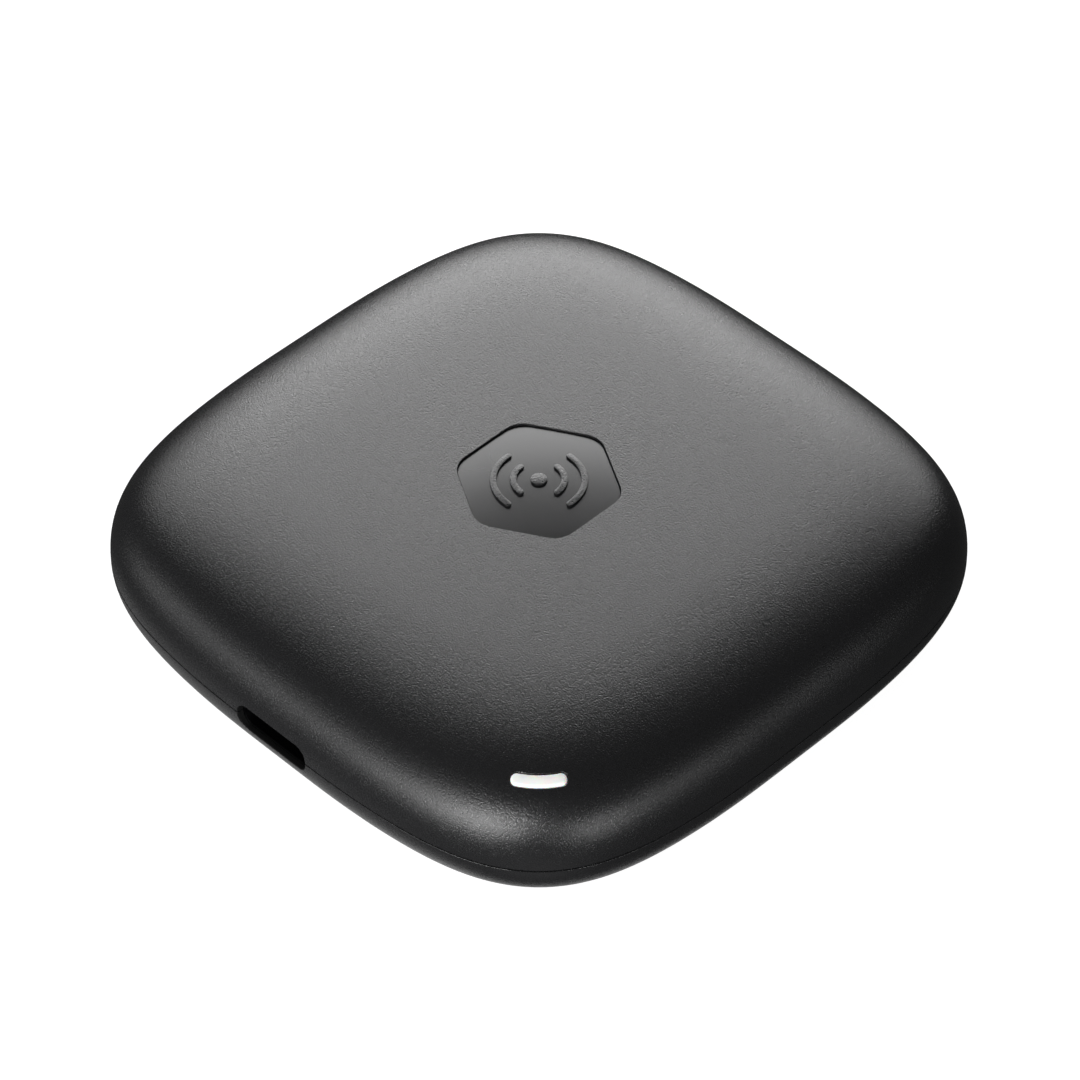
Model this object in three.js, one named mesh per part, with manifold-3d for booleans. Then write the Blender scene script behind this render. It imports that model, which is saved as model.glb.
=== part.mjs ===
// Bluetooth tracker tag: a cushion-shaped plastic casing in two shells, with a hexagonal button in
// the crown, a USB-C port in one side, a light pipe in one corner, and a battery, circuit board,
// switch and piezo sounder inside.
// Millimetres, +Z up. The origin is the middle of the flat underside, and the port faces -Y.

import * as THREE from "three";
import { mergeVertices } from "three/addons/utils/BufferGeometryUtils.js";
import Module from "manifold-3d";

const wasm = await Module();
wasm.setup();

// ---------------------------------------------------------------- driving dimensions

// Casing outside
const CASE_WIDTH = 66; // between opposite sides
const COVER_DEPTH = 5.15; // underside to the parting plane, where the port's middle is too
const CROWN_RISE = 8.6; // parting plane to crown
const CORNER_SWELL = [0.0848, -0.0096, 0.0019]; // outline: how it swells from a circle towards a square
const CROWN_FLATNESS = 8.4; // exponent across the crown: higher is flatter in the middle
const CROWN_EDGE = 2.4; // exponent of the crown's rim: 2 is elliptical, higher is fuller
const BASE_ROLL = 4.1; // how far the side curves in before it meets the flat underside

// Casing walls
const WALL = 1.6;
const ROOF = 1.5;
const FLOOR = 1.5;
const PARTING_GAP = 0.15; // hairline between the shells
const LIP_CLEARANCE = 0.1;
const SEAL_HEIGHT = 0.5;

// General fits
const CONTACT_GAP = 0.05; // between faces that touch, are soldered or are glued
const LOOSE_GAP = 0.4; // between pieces that must never touch

// Button
const BUTTON_ACROSS = 13.62; // window across flats
const BUTTON_CORNER = 2.4; // corner radius of the window
const BUTTON_CLEARANCE = 0.06; // cap to window, each side
const BUTTON_SINK = 0.22; // cap's face below the crown
const FLANGE_REACH = 1.3; // how far the cap's flange reaches under the shell
const FLANGE_THICKNESS = 0.7;
const BUTTON_SEAL_THICKNESS = 0.25;
const BUTTON_NIB_RADIUS = 1.5;
const BUTTON_NIB_LENGTH = 0.3;
const MARK_LINE = 0.6; // line width of the raised signal mark
const MARK_RISE = 0.22;
const MARK_DOT_RADIUS = 0.75;
const MARK_ARC_RADII = [2.3, 4.1];
const MARK_ARC_SPREAD = THREE.MathUtils.degToRad(104);

// Port: a USB-C receptacle hung under the board
const PORT_WIDTH = 8.6; // slot in the casing
const PORT_HEIGHT = 2.8;
const PORT_CORNER = 1.2;
const PORT_WALL = 0.7; // casing left in front of the receptacle
const USB_WIDTH = 8.94;
const USB_HEIGHT = 3.16;
const USB_CORNER = 1.3;
const USB_LENGTH = 7.35;
const USB_SHEET = 0.3;
const USB_DEPTH = 6.2; // mouth to the back of the opening
const USB_POCKET_CLEARANCE = 0.2;
const TONGUE_WIDTH = 6.69;
const TONGUE_THICKNESS = 0.7;
const TONGUE_SETBACK = 1.0; // tongue's front edge behind the mouth

// Light pipe and its lamp, in the corner between the port side and the +X side
const LIGHT_LENGTH = 4.85;
const LIGHT_WIDTH = 1;
const LIGHT_BEND = 8.5; // radius that the window follows
const LIGHT_INSET = 4.06; // window's middle to the corner of the outline
const LIGHT_CLEARANCE = 0.08;
const LIGHT_PROUD = 0.08; // pipe's face above the casing
const LIGHT_FOOT_HEIGHT = 0.6;
const LIGHT_FOOT_REACH = 0.9;
const LED_LENGTH = 3;
const LED_WIDTH = 1.4;
const LED_HEIGHT = 0.75;

// Screws and posts
const SCREW_RADIUS = 0.8;
const SCREW_HEAD_RADIUS = 1.5;
const SCREW_HEAD_HEIGHT = 0.8;
const SCREW_SINK = 0.15; // head below the underside
const SCREW_BITE = 2.4; // length held in the shell's post
const SCREW_CLEARANCE = 0.1;
const POST_RADIUS = 2.3;
const POST_TO_LIGHT = 0.75; // post's side to the light pipe's foot

// Circuit board
const BOARD_THICKNESS = 1;
const BOARD_EDGE = 0.8; // board to the casing's inside wall

// Switch under the button
const SWITCH_SIDE = 6.2;
const SWITCH_STEM = 0.55; // plunger above the switch cover
const SWITCH_COVER = 0.2;
const SWITCH_FLOOR_SHARE = 0.22; // of the switch body's height
const TERMINAL_SHEET = 0.2;
const TERMINAL_WIDTH = 0.7;
const PLUNGER_RADIUS = 1.7;
const PLUNGER_CLEARANCE = 0.1; // plunger to the cover's hole
const PLUNGER_FOOT_RADIUS = 2.2;
const PLUNGER_FOOT_SHARE = 0.16; // of the switch body's height
const DOME_RADIUS = 2.35;
const DOME_SHEET = 0.08;

// Sounder: a piezo disc bonded to a seat under the roof
const SOUNDER_ROOF_SHARE = 0.86; // how far out the roof stays flat enough for the seat
const SOUNDER_SEAT_WIDTH = 1;
const PIEZO_PLATE = 0.25;
const PIEZO_CERAMIC = 0.2;
const CERAMIC_SHARE = 0.68; // ceramic's diameter over the plate's, as such discs are made
const SPRING_SHEET = 0.2;
const SPRING_WIDTH = 1.2;
const SPRING_LENGTH = 3.2;

// Battery
const BATTERY_PAD = 0.3;
const PAD_MARGIN = 3; // pad's edge to the cell's
const BATTERY_SWELL_GAP = 0.4; // room above the cell
const BATTERY_SIDE_GAP = 0.7; // cell to the screw posts
const BATTERY_TO_PORT = 3;
const BATTERY_CORNER = 1.6;
const CONNECTOR_BAY = 10.4; // room between the cell and the back wall
const CELL_BOARD_WIDTH = 2.2;
const RIB_THICKNESS = 0.8;
const RIB_HEIGHT = 1.2;
const LEAD_RADIUS = 0.5;
const SOCKET_SIZE = { x: 5, y: 5.2, z: 2.7 };
const PLUG_SIZE = { x: 4.4, y: 3.8, z: 1.8 };
const PLUG_CLEARANCE = 0.1; // plug to the socket's mouth, each side
const PLUG_PROUD = 0.4; // plug beyond the socket

// How finely the curves are cut
const OUTLINE_STEPS = 64;
const CROWN_STEPS = 10;
const ROLL_STEPS = 5;
const ROUND_STEPS = 24;

// ---------------------------------------------------------------- heights and places worked out

const caseHalf = CASE_WIDTH / 2;
const caseHeight = COVER_DEPTH + CROWN_RISE;
const insideHalf = caseHalf - WALL;
const roofHeight = caseHeight - ROOF;
const diagonalSwell = swell(Math.PI / 4);
const cornerReach = caseHalf * diagonalSwell;

const lipHalf = insideHalf + WALL / 2 - LIP_CLEARANCE;
const rebateHalf = lipHalf + LIP_CLEARANCE;
const boardBottom = COVER_DEPTH + USB_HEIGHT / 2 + CONTACT_GAP;
const boardTop = boardBottom + BOARD_THICKNESS;
const lipTop = boardBottom;
const rebateTop = lipTop + SEAL_HEIGHT + CONTACT_GAP;
const boardHalf = insideHalf - BOARD_EDGE;
const partsBase = boardTop + CONTACT_GAP;

const buttonFace = caseHeight - BUTTON_SINK;
const flangeTop = roofHeight - BUTTON_SEAL_THICKNESS - 2 * CONTACT_GAP;
const flangeBottom = flangeTop - FLANGE_THICKNESS;
const flangeAcross = BUTTON_ACROSS + 2 * FLANGE_REACH;
const nibBottom = flangeBottom - BUTTON_NIB_LENGTH;
const plungerTop = nibBottom - CONTACT_GAP;
const switchTop = plungerTop - SWITCH_STEM;

const portMouth = -(caseHalf - PORT_WALL - CONTACT_GAP);
const portRear = portMouth + USB_LENGTH;

const lightReach = cornerReach - LIGHT_INSET;
const lightOffset = lightReach / Math.SQRT2;
const screwOffset = (lightReach - LED_WIDTH / 2 - POST_TO_LIGHT - POST_RADIUS) / Math.SQRT2;
const ledTop = partsBase + LED_HEIGHT;
const pipeBottom = ledTop + CONTACT_GAP;

const batteryHalfWidth = screwOffset - POST_RADIUS - BATTERY_SIDE_GAP;
const batteryFront = portRear + BATTERY_TO_PORT;
const batteryBack = insideHalf - CONNECTOR_BAY;
const batteryBottom = FLOOR + BATTERY_PAD + 2 * CONTACT_GAP;
const batteryTop = boardBottom - BATTERY_SWELL_GAP;

const sounderInner = flangeAcross / 2 + LOOSE_GAP + SOUNDER_SEAT_WIDTH;
const sounderOuter = insideHalf * SOUNDER_ROOF_SHARE - SOUNDER_SEAT_WIDTH;
const sounderRadius = (sounderOuter - sounderInner) / 2;
const sounderX = (sounderOuter + sounderInner) / 2;
const sounderSeat = crownHeight(SOUNDER_ROOF_SHARE, roofHeight) - LOOSE_GAP / 2;

// ---------------------------------------------------------------- curves

// How far the outline stands out at an angle, against the middle of a side.
function swell(angle) {
  return CORNER_SWELL.reduce((sum, share, i) => sum + share * (1 - Math.cos(4 * (i + 1) * angle)), 1);
}

// Height of a crown that peaks at top, at a share of the way from the middle to the rim.
function crownHeight(share, top) {
  const drop = (1 - share ** CROWN_FLATNESS) ** (1 / CROWN_EDGE);
  return COVER_DEPTH + (top - COVER_DEPTH) * drop;
}

// Half of the cushion's section, from the middle of its base to the middle of its crown.
function cushionSection(half, base, top, roll) {
  const points = [new THREE.Vector2(0, base)];
  for (let i = 0; i < ROLL_STEPS; i++) {
    const angle = ((i / ROLL_STEPS) * Math.PI) / 2;
    const radius = half - roll * (1 - Math.sin(angle));
    points.push(new THREE.Vector2(radius, COVER_DEPTH - (COVER_DEPTH - base) * Math.cos(angle)));
  }
  for (let i = CROWN_STEPS; i > 0; i--) {
    const share = Math.sin(((i / CROWN_STEPS) * Math.PI) / 2) ** (2 / CROWN_FLATNESS);
    points.push(new THREE.Vector2(half * share, crownHeight(share, top)));
  }
  points.push(new THREE.Vector2(0, top));
  return points;
}

// Points of the outline at a half width, anticlockwise from +X.
function outlinePoints(half) {
  return Array.from({ length: OUTLINE_STEPS }, (_, i) => {
    const angle = (i / OUTLINE_STEPS) * 2 * Math.PI;
    const radius = half * swell(angle);
    return new THREE.Vector2(radius * Math.cos(angle), radius * Math.sin(angle));
  });
}

// A shape from corner points, each rounded by an arc of the same radius.
function roundedShape(corners, radius) {
  const shape = new THREE.Shape();
  corners.forEach((corner, i) => {
    const before = corners[(i + corners.length - 1) % corners.length];
    const after = corners[(i + 1) % corners.length];
    const inward = before.clone().sub(corner).normalize();
    const onward = after.clone().sub(corner).normalize();
    const half = Math.acos(inward.dot(onward)) / 2;
    const bisector = inward.clone().add(onward).normalize();
    const centre = corner.clone().addScaledVector(bisector, radius / Math.sin(half));
    const turn = Math.PI / 2 - half;
    const middle = corner.clone().sub(centre).angle();
    shape.absarc(centre.x, centre.y, radius, middle - turn, middle + turn, false);
  });
  shape.closePath();
  return shape;
}

function roundedRectangle(width, height, radius) {
  const x = width / 2;
  const y = height / 2;
  const signs = [[1, 1], [-1, 1], [-1, -1], [1, -1]];
  return roundedShape(signs.map(([sx, sy]) => new THREE.Vector2(sx * x, sy * y)), radius);
}

// A hexagon with two corners on the Y axis.
function hexagon(across, radius) {
  const reach = across / Math.sqrt(3);
  const corners = Array.from({ length: 6 }, (_, i) => {
    const angle = Math.PI / 6 + (i * Math.PI) / 3;
    return new THREE.Vector2(reach * Math.cos(angle), reach * Math.sin(angle));
  });
  return roundedShape(corners, radius);
}

// A bar bent round an arc, with round ends. Its middle is at the origin and the arc's centre at -X.
function bentBar(length, width, bend) {
  const turn = (length - width) / 2 / bend;
  const shape = new THREE.Shape();
  const addEnd = (angle, from) => {
    const x = bend * Math.cos(angle) - bend;
    shape.absarc(x, bend * Math.sin(angle), width / 2, from, from + Math.PI, false);
  };
  shape.absarc(-bend, 0, bend + width / 2, -turn, turn, false);
  addEnd(turn, turn);
  shape.absarc(-bend, 0, bend - width / 2, turn, -turn, true);
  addEnd(-turn, Math.PI - turn);
  shape.closePath();
  return shape;
}

// ---------------------------------------------------------------- solids

// A three.js geometry as a manifold-3d solid.
function solid(geometry) {
  const bare = geometry.index ? geometry.toNonIndexed() : geometry.clone();
  bare.deleteAttribute("normal");
  bare.deleteAttribute("uv");
  const merged = mergeVertices(bare, 1e-4);
  return new wasm.Manifold(
    new wasm.Mesh({
      numProp: 3,
      vertProperties: merged.attributes.position.array,
      triVerts: new Uint32Array(merged.index.array),
    }),
  );
}

// A manifold-3d solid as a three.js geometry.
function geometryOf(made) {
  const mesh = made.getMesh();
  const positions = new Float32Array(mesh.numVert * 3);
  for (let i = 0; i < mesh.numVert; i++) {
    positions.set(mesh.vertProperties.subarray(i * mesh.numProp, i * mesh.numProp + 3), i * 3);
  }
  const geometry = new THREE.BufferGeometry();
  geometry.setAttribute("position", new THREE.BufferAttribute(positions, 3));
  geometry.setIndex(new THREE.BufferAttribute(mesh.triVerts, 1));
  geometry.computeVertexNormals();
  return geometry;
}

const join = (first, ...rest) => rest.reduce((made, other) => made.add(other), first);
const cut = (first, ...rest) => rest.reduce((made, other) => made.subtract(other), first);

// A block centred on x, y and standing on z.
function block(size, x, y, z) {
  return solid(new THREE.BoxGeometry(size.x, size.y, size.z).translate(x, y, z + size.z / 2));
}

// A round rod along Z, standing on z.
function rod(radius, height, x, y, z) {
  const geometry = new THREE.CylinderGeometry(radius, radius, height, ROUND_STEPS);
  return solid(geometry.rotateX(Math.PI / 2).translate(x, y, z + height / 2));
}

// A flat shape thickened from one height to another.
function prism(shape, bottom, top, curveSegments = 6) {
  const depth = top - bottom;
  const geometry = new THREE.ExtrudeGeometry(shape, { depth, bevelEnabled: false, curveSegments });
  return solid(geometry.translate(0, 0, bottom));
}

// The casing's outline at a half width, thickened from one height to another.
function outlinePrism(half, bottom, top) {
  return prism(new THREE.Shape(outlinePoints(half)), bottom, top);
}

// A shape drawn in X and Z, thickened along Y from one place to another.
function portPrism(shape, from, to) {
  const depth = to - from;
  const geometry = new THREE.ExtrudeGeometry(shape, { depth, bevelEnabled: false, curveSegments: 6 });
  return solid(geometry.rotateX(Math.PI / 2).translate(0, to, COVER_DEPTH));
}

// The cushion: a turned body whose every ring is swollen into the outline.
function cushion(half, base, top, roll) {
  const geometry = new THREE.LatheGeometry(cushionSection(half, base, top, roll), OUTLINE_STEPS);
  geometry.rotateX(Math.PI / 2);
  const position = geometry.getAttribute("position");
  for (let i = 0; i < position.count; i++) {
    const factor = swell(Math.atan2(position.getY(i), position.getX(i)));
    position.setXY(i, position.getX(i) * factor, position.getY(i) * factor);
  }
  return solid(geometry);
}

// A solid turned to face the light window's corner and moved to it.
const atLightCorner = (made) => made.rotate([0, 0, -45]).translate([lightOffset, -lightOffset, 0]);

const fourCorners = (place) => [-1, 1].flatMap((sy) => [-1, 1].map((sx) => place(sx, sy)));

const outside = () => cushion(caseHalf, 0, caseHeight, BASE_ROLL);
const inside = () => cushion(insideHalf, FLOOR, roofHeight, BASE_ROLL - WALL / 2);
const slab = (bottom, top) => block({ x: 2 * CASE_WIDTH, y: 2 * CASE_WIDTH, z: top - bottom }, 0, 0, bottom);

// ---------------------------------------------------------------- casing

// The port's slot through the wall, and the pocket behind it for the receptacle's nose.
function portOpening() {
  const slot = roundedRectangle(PORT_WIDTH, PORT_HEIGHT, PORT_CORNER);
  const grown = 2 * USB_POCKET_CLEARANCE;
  const pocket = roundedRectangle(USB_WIDTH + grown, USB_HEIGHT + grown, USB_CORNER + USB_POCKET_CLEARANCE);
  const mouth = portPrism(slot, -caseHalf - WALL, portRear);
  return mouth.add(portPrism(pocket, portMouth - CONTACT_GAP, portRear));
}

// The window for the light pipe, and the well that clears the pipe's foot and the lamp.
function lightOpening() {
  const grown = 2 * LIGHT_CLEARANCE;
  const shape = bentBar(LIGHT_LENGTH + grown, LIGHT_WIDTH + grown, LIGHT_BEND);
  const window = prism(shape, boardBottom, caseHeight);
  const well = block(
    { x: LED_WIDTH + LOOSE_GAP, y: LED_LENGTH + LOOSE_GAP, z: ledTop + LOOSE_GAP - boardBottom },
    0,
    0,
    boardBottom,
  );
  return atLightCorner(window.add(well));
}

function topShell() {
  const skin = outside().intersect(slab(COVER_DEPTH + PARTING_GAP / 2, 2 * caseHeight));
  const cavity = inside().add(outlinePrism(rebateHalf, COVER_DEPTH - WALL, rebateTop));
  const posts = fourCorners((sx, sy) =>
    rod(POST_RADIUS, caseHeight, sx * screwOffset, sy * screwOffset, boardTop + CONTACT_GAP),
  );
  const seat = rod(sounderRadius + SOUNDER_SEAT_WIDTH, caseHeight, sounderX, 0, sounderSeat);
  const seatHollow = rod(sounderRadius - SOUNDER_SEAT_WIDTH, caseHeight, sounderX, 0, 0);
  const fittings = join(...posts, seat.subtract(seatHollow)).intersect(outside());
  const pilots = fourCorners((sx, sy) =>
    rod(SCREW_RADIUS + CONTACT_GAP, SCREW_BITE + LOOSE_GAP, sx * screwOffset, sy * screwOffset, boardTop),
  );
  const window = prism(hexagon(BUTTON_ACROSS, BUTTON_CORNER), 0, 2 * caseHeight);
  return cut(join(skin.subtract(cavity), fittings), ...pilots, window, portOpening(), lightOpening());
}

function bottomCover() {
  const skin = outside().intersect(slab(-1, COVER_DEPTH - PARTING_GAP / 2));
  const lip = outlinePrism(lipHalf, COVER_DEPTH - WALL / 2, lipTop);
  const hollow = inside().add(outlinePrism(insideHalf, COVER_DEPTH, rebateTop));
  const posts = fourCorners((sx, sy) =>
    rod(POST_RADIUS, boardBottom - CONTACT_GAP - FLOOR / 2, sx * screwOffset, sy * screwOffset, FLOOR / 2),
  );
  const frame = cellFrame(RIB_THICKNESS).subtract(cellFrame(0));
  const headRoom = 2 * (SCREW_SINK + SCREW_HEAD_HEIGHT + CONTACT_GAP);
  const bores = fourCorners((sx, sy) =>
    join(
      rod(SCREW_RADIUS + SCREW_CLEARANCE, caseHeight, sx * screwOffset, sy * screwOffset, 0),
      rod(SCREW_HEAD_RADIUS + SCREW_CLEARANCE, headRoom, sx * screwOffset, sy * screwOffset, -headRoom / 2),
    ),
  );
  return cut(join(skin.add(lip).subtract(hollow), ...posts, frame), ...bores, portOpening());
}

// The space inside the ribs that locate the cell, grown by the ribs' own thickness.
function cellFrame(grown) {
  const gap = BATTERY_SIDE_GAP / 2 + grown;
  const size = {
    x: 2 * (batteryHalfWidth + gap),
    y: batteryBack - batteryFront + 2 * gap,
    z: RIB_HEIGHT + FLOOR / 2,
  };
  return block(size, 0, (batteryFront + batteryBack) / 2, FLOOR / 2);
}

function perimeterSeal() {
  const ring = outlinePrism(rebateHalf - CONTACT_GAP, lipTop + CONTACT_GAP, rebateTop - CONTACT_GAP);
  return ring.subtract(outlinePrism(insideHalf + CONTACT_GAP, 0, caseHeight));
}

// A cross-recessed screw, standing on its head at the origin.
function casingScrew() {
  const head = rod(SCREW_HEAD_RADIUS, SCREW_HEAD_HEIGHT, 0, 0, 0);
  const top = boardTop + SCREW_BITE - SCREW_SINK;
  const shank = rod(SCREW_RADIUS, top - SCREW_HEAD_HEIGHT / 2, 0, 0, SCREW_HEAD_HEIGHT / 2);
  const bar = { long: 1.1 * SCREW_HEAD_RADIUS, wide: SCREW_RADIUS / 2, z: SCREW_HEAD_HEIGHT };
  const arms = [
    block({ x: bar.long, y: bar.wide, z: bar.z }, 0, 0, -bar.z / 2),
    block({ x: bar.wide, y: bar.long, z: bar.z }, 0, 0, -bar.z / 2),
  ];
  return cut(head.add(shank), ...arms);
}

// ---------------------------------------------------------------- button

// A signal mark: a dot between two pairs of arcs.
function signalMark(bottom, top) {
  const dot = rod(MARK_DOT_RADIUS, top - bottom, 0, 0, bottom);
  const arcs = MARK_ARC_RADII.flatMap((radius) =>
    [0, 180].map((turn) => {
      const length = radius * MARK_ARC_SPREAD;
      const arc = prism(bentBar(length, MARK_LINE, radius), bottom, top, 10);
      return arc.translate([radius, 0, 0]).rotate([0, 0, turn]);
    }),
  );
  return join(dot, ...arcs).rotate([0, 0, 45]);
}

function buttonCap() {
  const across = BUTTON_ACROSS - 2 * BUTTON_CLEARANCE;
  const plate = prism(hexagon(across, BUTTON_CORNER - BUTTON_CLEARANCE), flangeBottom, buttonFace);
  const flange = prism(hexagon(flangeAcross, BUTTON_CORNER + FLANGE_REACH), flangeBottom, flangeTop);
  const nib = rod(BUTTON_NIB_RADIUS, FLANGE_THICKNESS, 0, 0, nibBottom);
  return join(plate, flange, nib, signalMark(buttonFace - MARK_RISE, buttonFace + MARK_RISE));
}

function buttonSeal() {
  const bottom = flangeTop + CONTACT_GAP;
  const shape = hexagon(flangeAcross, BUTTON_CORNER + FLANGE_REACH);
  const ring = prism(shape, bottom, bottom + BUTTON_SEAL_THICKNESS);
  const hole = hexagon(BUTTON_ACROSS + BUTTON_CLEARANCE, BUTTON_CORNER);
  return ring.subtract(prism(hole, 0, caseHeight));
}

// ---------------------------------------------------------------- light

// The pipe is trimmed to the crown, and stands a little proud of it.
function lightPipe() {
  const stem = prism(bentBar(LIGHT_LENGTH, LIGHT_WIDTH, LIGHT_BEND), pipeBottom, caseHeight);
  const crown = cushion(caseHalf + LIGHT_PROUD, 0, caseHeight + LIGHT_PROUD, BASE_ROLL);
  const footSize = { x: LED_WIDTH, y: LIGHT_LENGTH + LIGHT_FOOT_REACH, z: LIGHT_FOOT_HEIGHT };
  const foot = block(footSize, -LIGHT_FOOT_REACH / 2, 0, pipeBottom);
  const room = cushion(insideHalf - LOOSE_GAP, FLOOR, roofHeight - LOOSE_GAP, BASE_ROLL - WALL / 2);
  return join(atLightCorner(stem).intersect(crown), atLightCorner(foot).intersect(room));
}

function statusLed() {
  return atLightCorner(block({ x: LED_WIDTH, y: LED_LENGTH, z: LED_HEIGHT }, 0, 0, partsBase));
}

// ---------------------------------------------------------------- circuit board

function circuitBoard() {
  const holes = fourCorners((sx, sy) =>
    rod(SCREW_RADIUS + SCREW_CLEARANCE, caseHeight, sx * screwOffset, sy * screwOffset, 0),
  );
  return cut(outlinePrism(boardHalf, boardBottom, boardTop), ...holes);
}

// A folded screening can, open underneath.
function shieldCan(size, sheet) {
  const room = { x: size.x - 2 * sheet, y: size.y - 2 * sheet, z: size.z };
  return block(size, 0, 0, 0).subtract(block(room, 0, 0, -sheet));
}

// ---------------------------------------------------------------- switch, standing on the board

const switchBody = switchTop - partsBase - SWITCH_COVER;
const switchLift = TERMINAL_SHEET + CONTACT_GAP;
const switchFloor = switchLift + switchBody * SWITCH_FLOOR_SHARE;
const plungerFootTop = switchBody - CONTACT_GAP;
const plungerFootBottom = plungerFootTop - switchBody * PLUNGER_FOOT_SHARE;

function switchBase() {
  const square = { x: SWITCH_SIDE, y: SWITCH_SIDE, z: switchBody - CONTACT_GAP - switchLift };
  const well = rod(DOME_RADIUS + CONTACT_GAP, switchBody, 0, 0, switchFloor);
  return block(square, 0, 0, switchLift).subtract(well);
}

function switchCover() {
  const plate = block({ x: SWITCH_SIDE, y: SWITCH_SIDE, z: SWITCH_COVER }, 0, 0, switchBody);
  const hole = rod(PLUNGER_RADIUS + PLUNGER_CLEARANCE, 2 * SWITCH_COVER, 0, 0, switchBody - SWITCH_COVER / 2);
  return plate.subtract(hole);
}

function switchPlunger() {
  const foot = rod(PLUNGER_FOOT_RADIUS, plungerFootTop - plungerFootBottom, 0, 0, plungerFootBottom);
  return foot.add(rod(PLUNGER_RADIUS, plungerTop - partsBase - plungerFootBottom, 0, 0, plungerFootBottom));
}

// A thin snap dome that fills the room between the switch's floor and the plunger's foot.
function switchDome() {
  const bottom = switchFloor + CONTACT_GAP;
  const rise = plungerFootBottom - CONTACT_GAP - bottom;
  const steps = 5;
  const arch = (lift) =>
    Array.from({ length: steps + 1 }, (_, i) => {
      const share = i / steps;
      const height = bottom + lift + (rise - DOME_SHEET) * (1 - share ** 2);
      return new THREE.Vector2(DOME_RADIUS * share, height);
    });
  const section = [...arch(0), ...arch(DOME_SHEET).reverse()];
  return solid(new THREE.LatheGeometry(section, ROUND_STEPS).rotateX(Math.PI / 2));
}

// A terminal that runs across under the switch and turns up both its sides.
function switchTerminal() {
  const side = SWITCH_SIDE / 2 + CONTACT_GAP;
  const foot = block({ x: 2 * (side + TERMINAL_WIDTH), y: TERMINAL_WIDTH, z: TERMINAL_SHEET }, 0, 0, 0);
  const upright = { x: TERMINAL_SHEET, y: TERMINAL_WIDTH, z: switchBody / 2 };
  return join(foot, ...[-1, 1].map((end) => block(upright, end * (side + TERMINAL_SHEET / 2), 0, 0)));
}

// ---------------------------------------------------------------- port

function usbShell() {
  const outer = portPrism(roundedRectangle(USB_WIDTH, USB_HEIGHT, USB_CORNER), portMouth, portRear);
  const sheets = 2 * USB_SHEET;
  const inner = roundedRectangle(USB_WIDTH - sheets, USB_HEIGHT - sheets, USB_CORNER - USB_SHEET);
  return outer.subtract(portPrism(inner, portMouth - 1, portRear + 1));
}

function usbTongue() {
  const gap = 2 * (USB_SHEET + CONTACT_GAP);
  const plug = roundedRectangle(USB_WIDTH - gap, USB_HEIGHT - gap, USB_CORNER - USB_SHEET - CONTACT_GAP);
  const tongue = roundedRectangle(TONGUE_WIDTH, TONGUE_THICKNESS, TONGUE_THICKNESS / 3);
  const root = portPrism(plug, portMouth + USB_DEPTH, portRear);
  return root.add(portPrism(tongue, portMouth + TONGUE_SETBACK, portRear));
}

// ---------------------------------------------------------------- sounder

function piezoPlate() {
  return rod(sounderRadius, PIEZO_PLATE, sounderX, 0, sounderSeat - CONTACT_GAP - PIEZO_PLATE);
}

const ceramicBottom = sounderSeat - 2 * CONTACT_GAP - PIEZO_PLATE - PIEZO_CERAMIC;

function piezoCeramic() {
  return rod(sounderRadius * CERAMIC_SHARE, PIEZO_CERAMIC, sounderX, 0, ceramicBottom);
}

// A leaf spring folded into a Z, from the board up to the disc.
function springContact(x, top) {
  const foot = SPRING_SHEET;
  const height = top - partsBase;
  const half = SPRING_LENGTH / 2;
  const lean = Math.min(foot, height / 4);
  const outline = [
    [-half, 0],
    [half, 0],
    [half, foot],
    [-half + 3 * foot, lean + foot],
    [half, height - foot],
    [half, height],
    [half - 2 * foot, height],
    [-half + foot, lean + foot],
    [-half, foot],
  ];
  const shape = new THREE.Shape(outline.map(([px, pz]) => new THREE.Vector2(px, pz)));
  const geometry = new THREE.ExtrudeGeometry(shape, { depth: SPRING_WIDTH, bevelEnabled: false });
  return solid(geometry.rotateX(Math.PI / 2).translate(x - half, SPRING_WIDTH / 2, partsBase));
}

// ---------------------------------------------------------------- battery

const cellWidth = 2 * batteryHalfWidth;
const cellLength = batteryBack - batteryFront - CELL_BOARD_WIDTH - CONTACT_GAP;
const cellMiddle = batteryFront + cellLength / 2;
const cellBoardY = batteryBack - CELL_BOARD_WIDTH / 2;
const leadHeight = (batteryBottom + batteryTop) / 2;

function batteryCell() {
  const shape = roundedRectangle(cellWidth, cellLength, BATTERY_CORNER);
  return prism(shape, batteryBottom, batteryTop).translate([0, cellMiddle, 0]);
}

function batteryBoard() {
  const size = { x: cellWidth * 0.8, y: CELL_BOARD_WIDTH, z: batteryTop - batteryBottom - 2 * LOOSE_GAP };
  return block(size, 0, cellBoardY, batteryBottom + LOOSE_GAP);
}

function batteryPad() {
  const shape = roundedRectangle(cellWidth - 2 * PAD_MARGIN, cellLength - 2 * PAD_MARGIN, BATTERY_CORNER);
  return prism(shape, FLOOR + CONTACT_GAP, FLOOR + CONTACT_GAP + BATTERY_PAD).translate([0, cellMiddle, 0]);
}

const socketY = batteryBack + CELL_BOARD_WIDTH + SOCKET_SIZE.y / 2;
const socketX = SOCKET_SIZE.x;
const socketBottom = boardBottom - CONTACT_GAP - SOCKET_SIZE.z;
const plugBottom = socketBottom + (SOCKET_SIZE.z - PLUG_SIZE.z) / 2;
const plugX = socketX - SOCKET_SIZE.x / 2 - PLUG_PROUD;

function batterySocket() {
  const gap = 2 * PLUG_CLEARANCE;
  const room = { x: SOCKET_SIZE.x, y: PLUG_SIZE.y + gap, z: PLUG_SIZE.z + gap };
  const mouth = block(room, socketX - SOCKET_SIZE.x / 4, socketY, plugBottom - gap / 2);
  return block(SOCKET_SIZE, socketX, socketY, socketBottom).subtract(mouth);
}

function batteryPlug() {
  return block(PLUG_SIZE, plugX, socketY, plugBottom);
}

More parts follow.
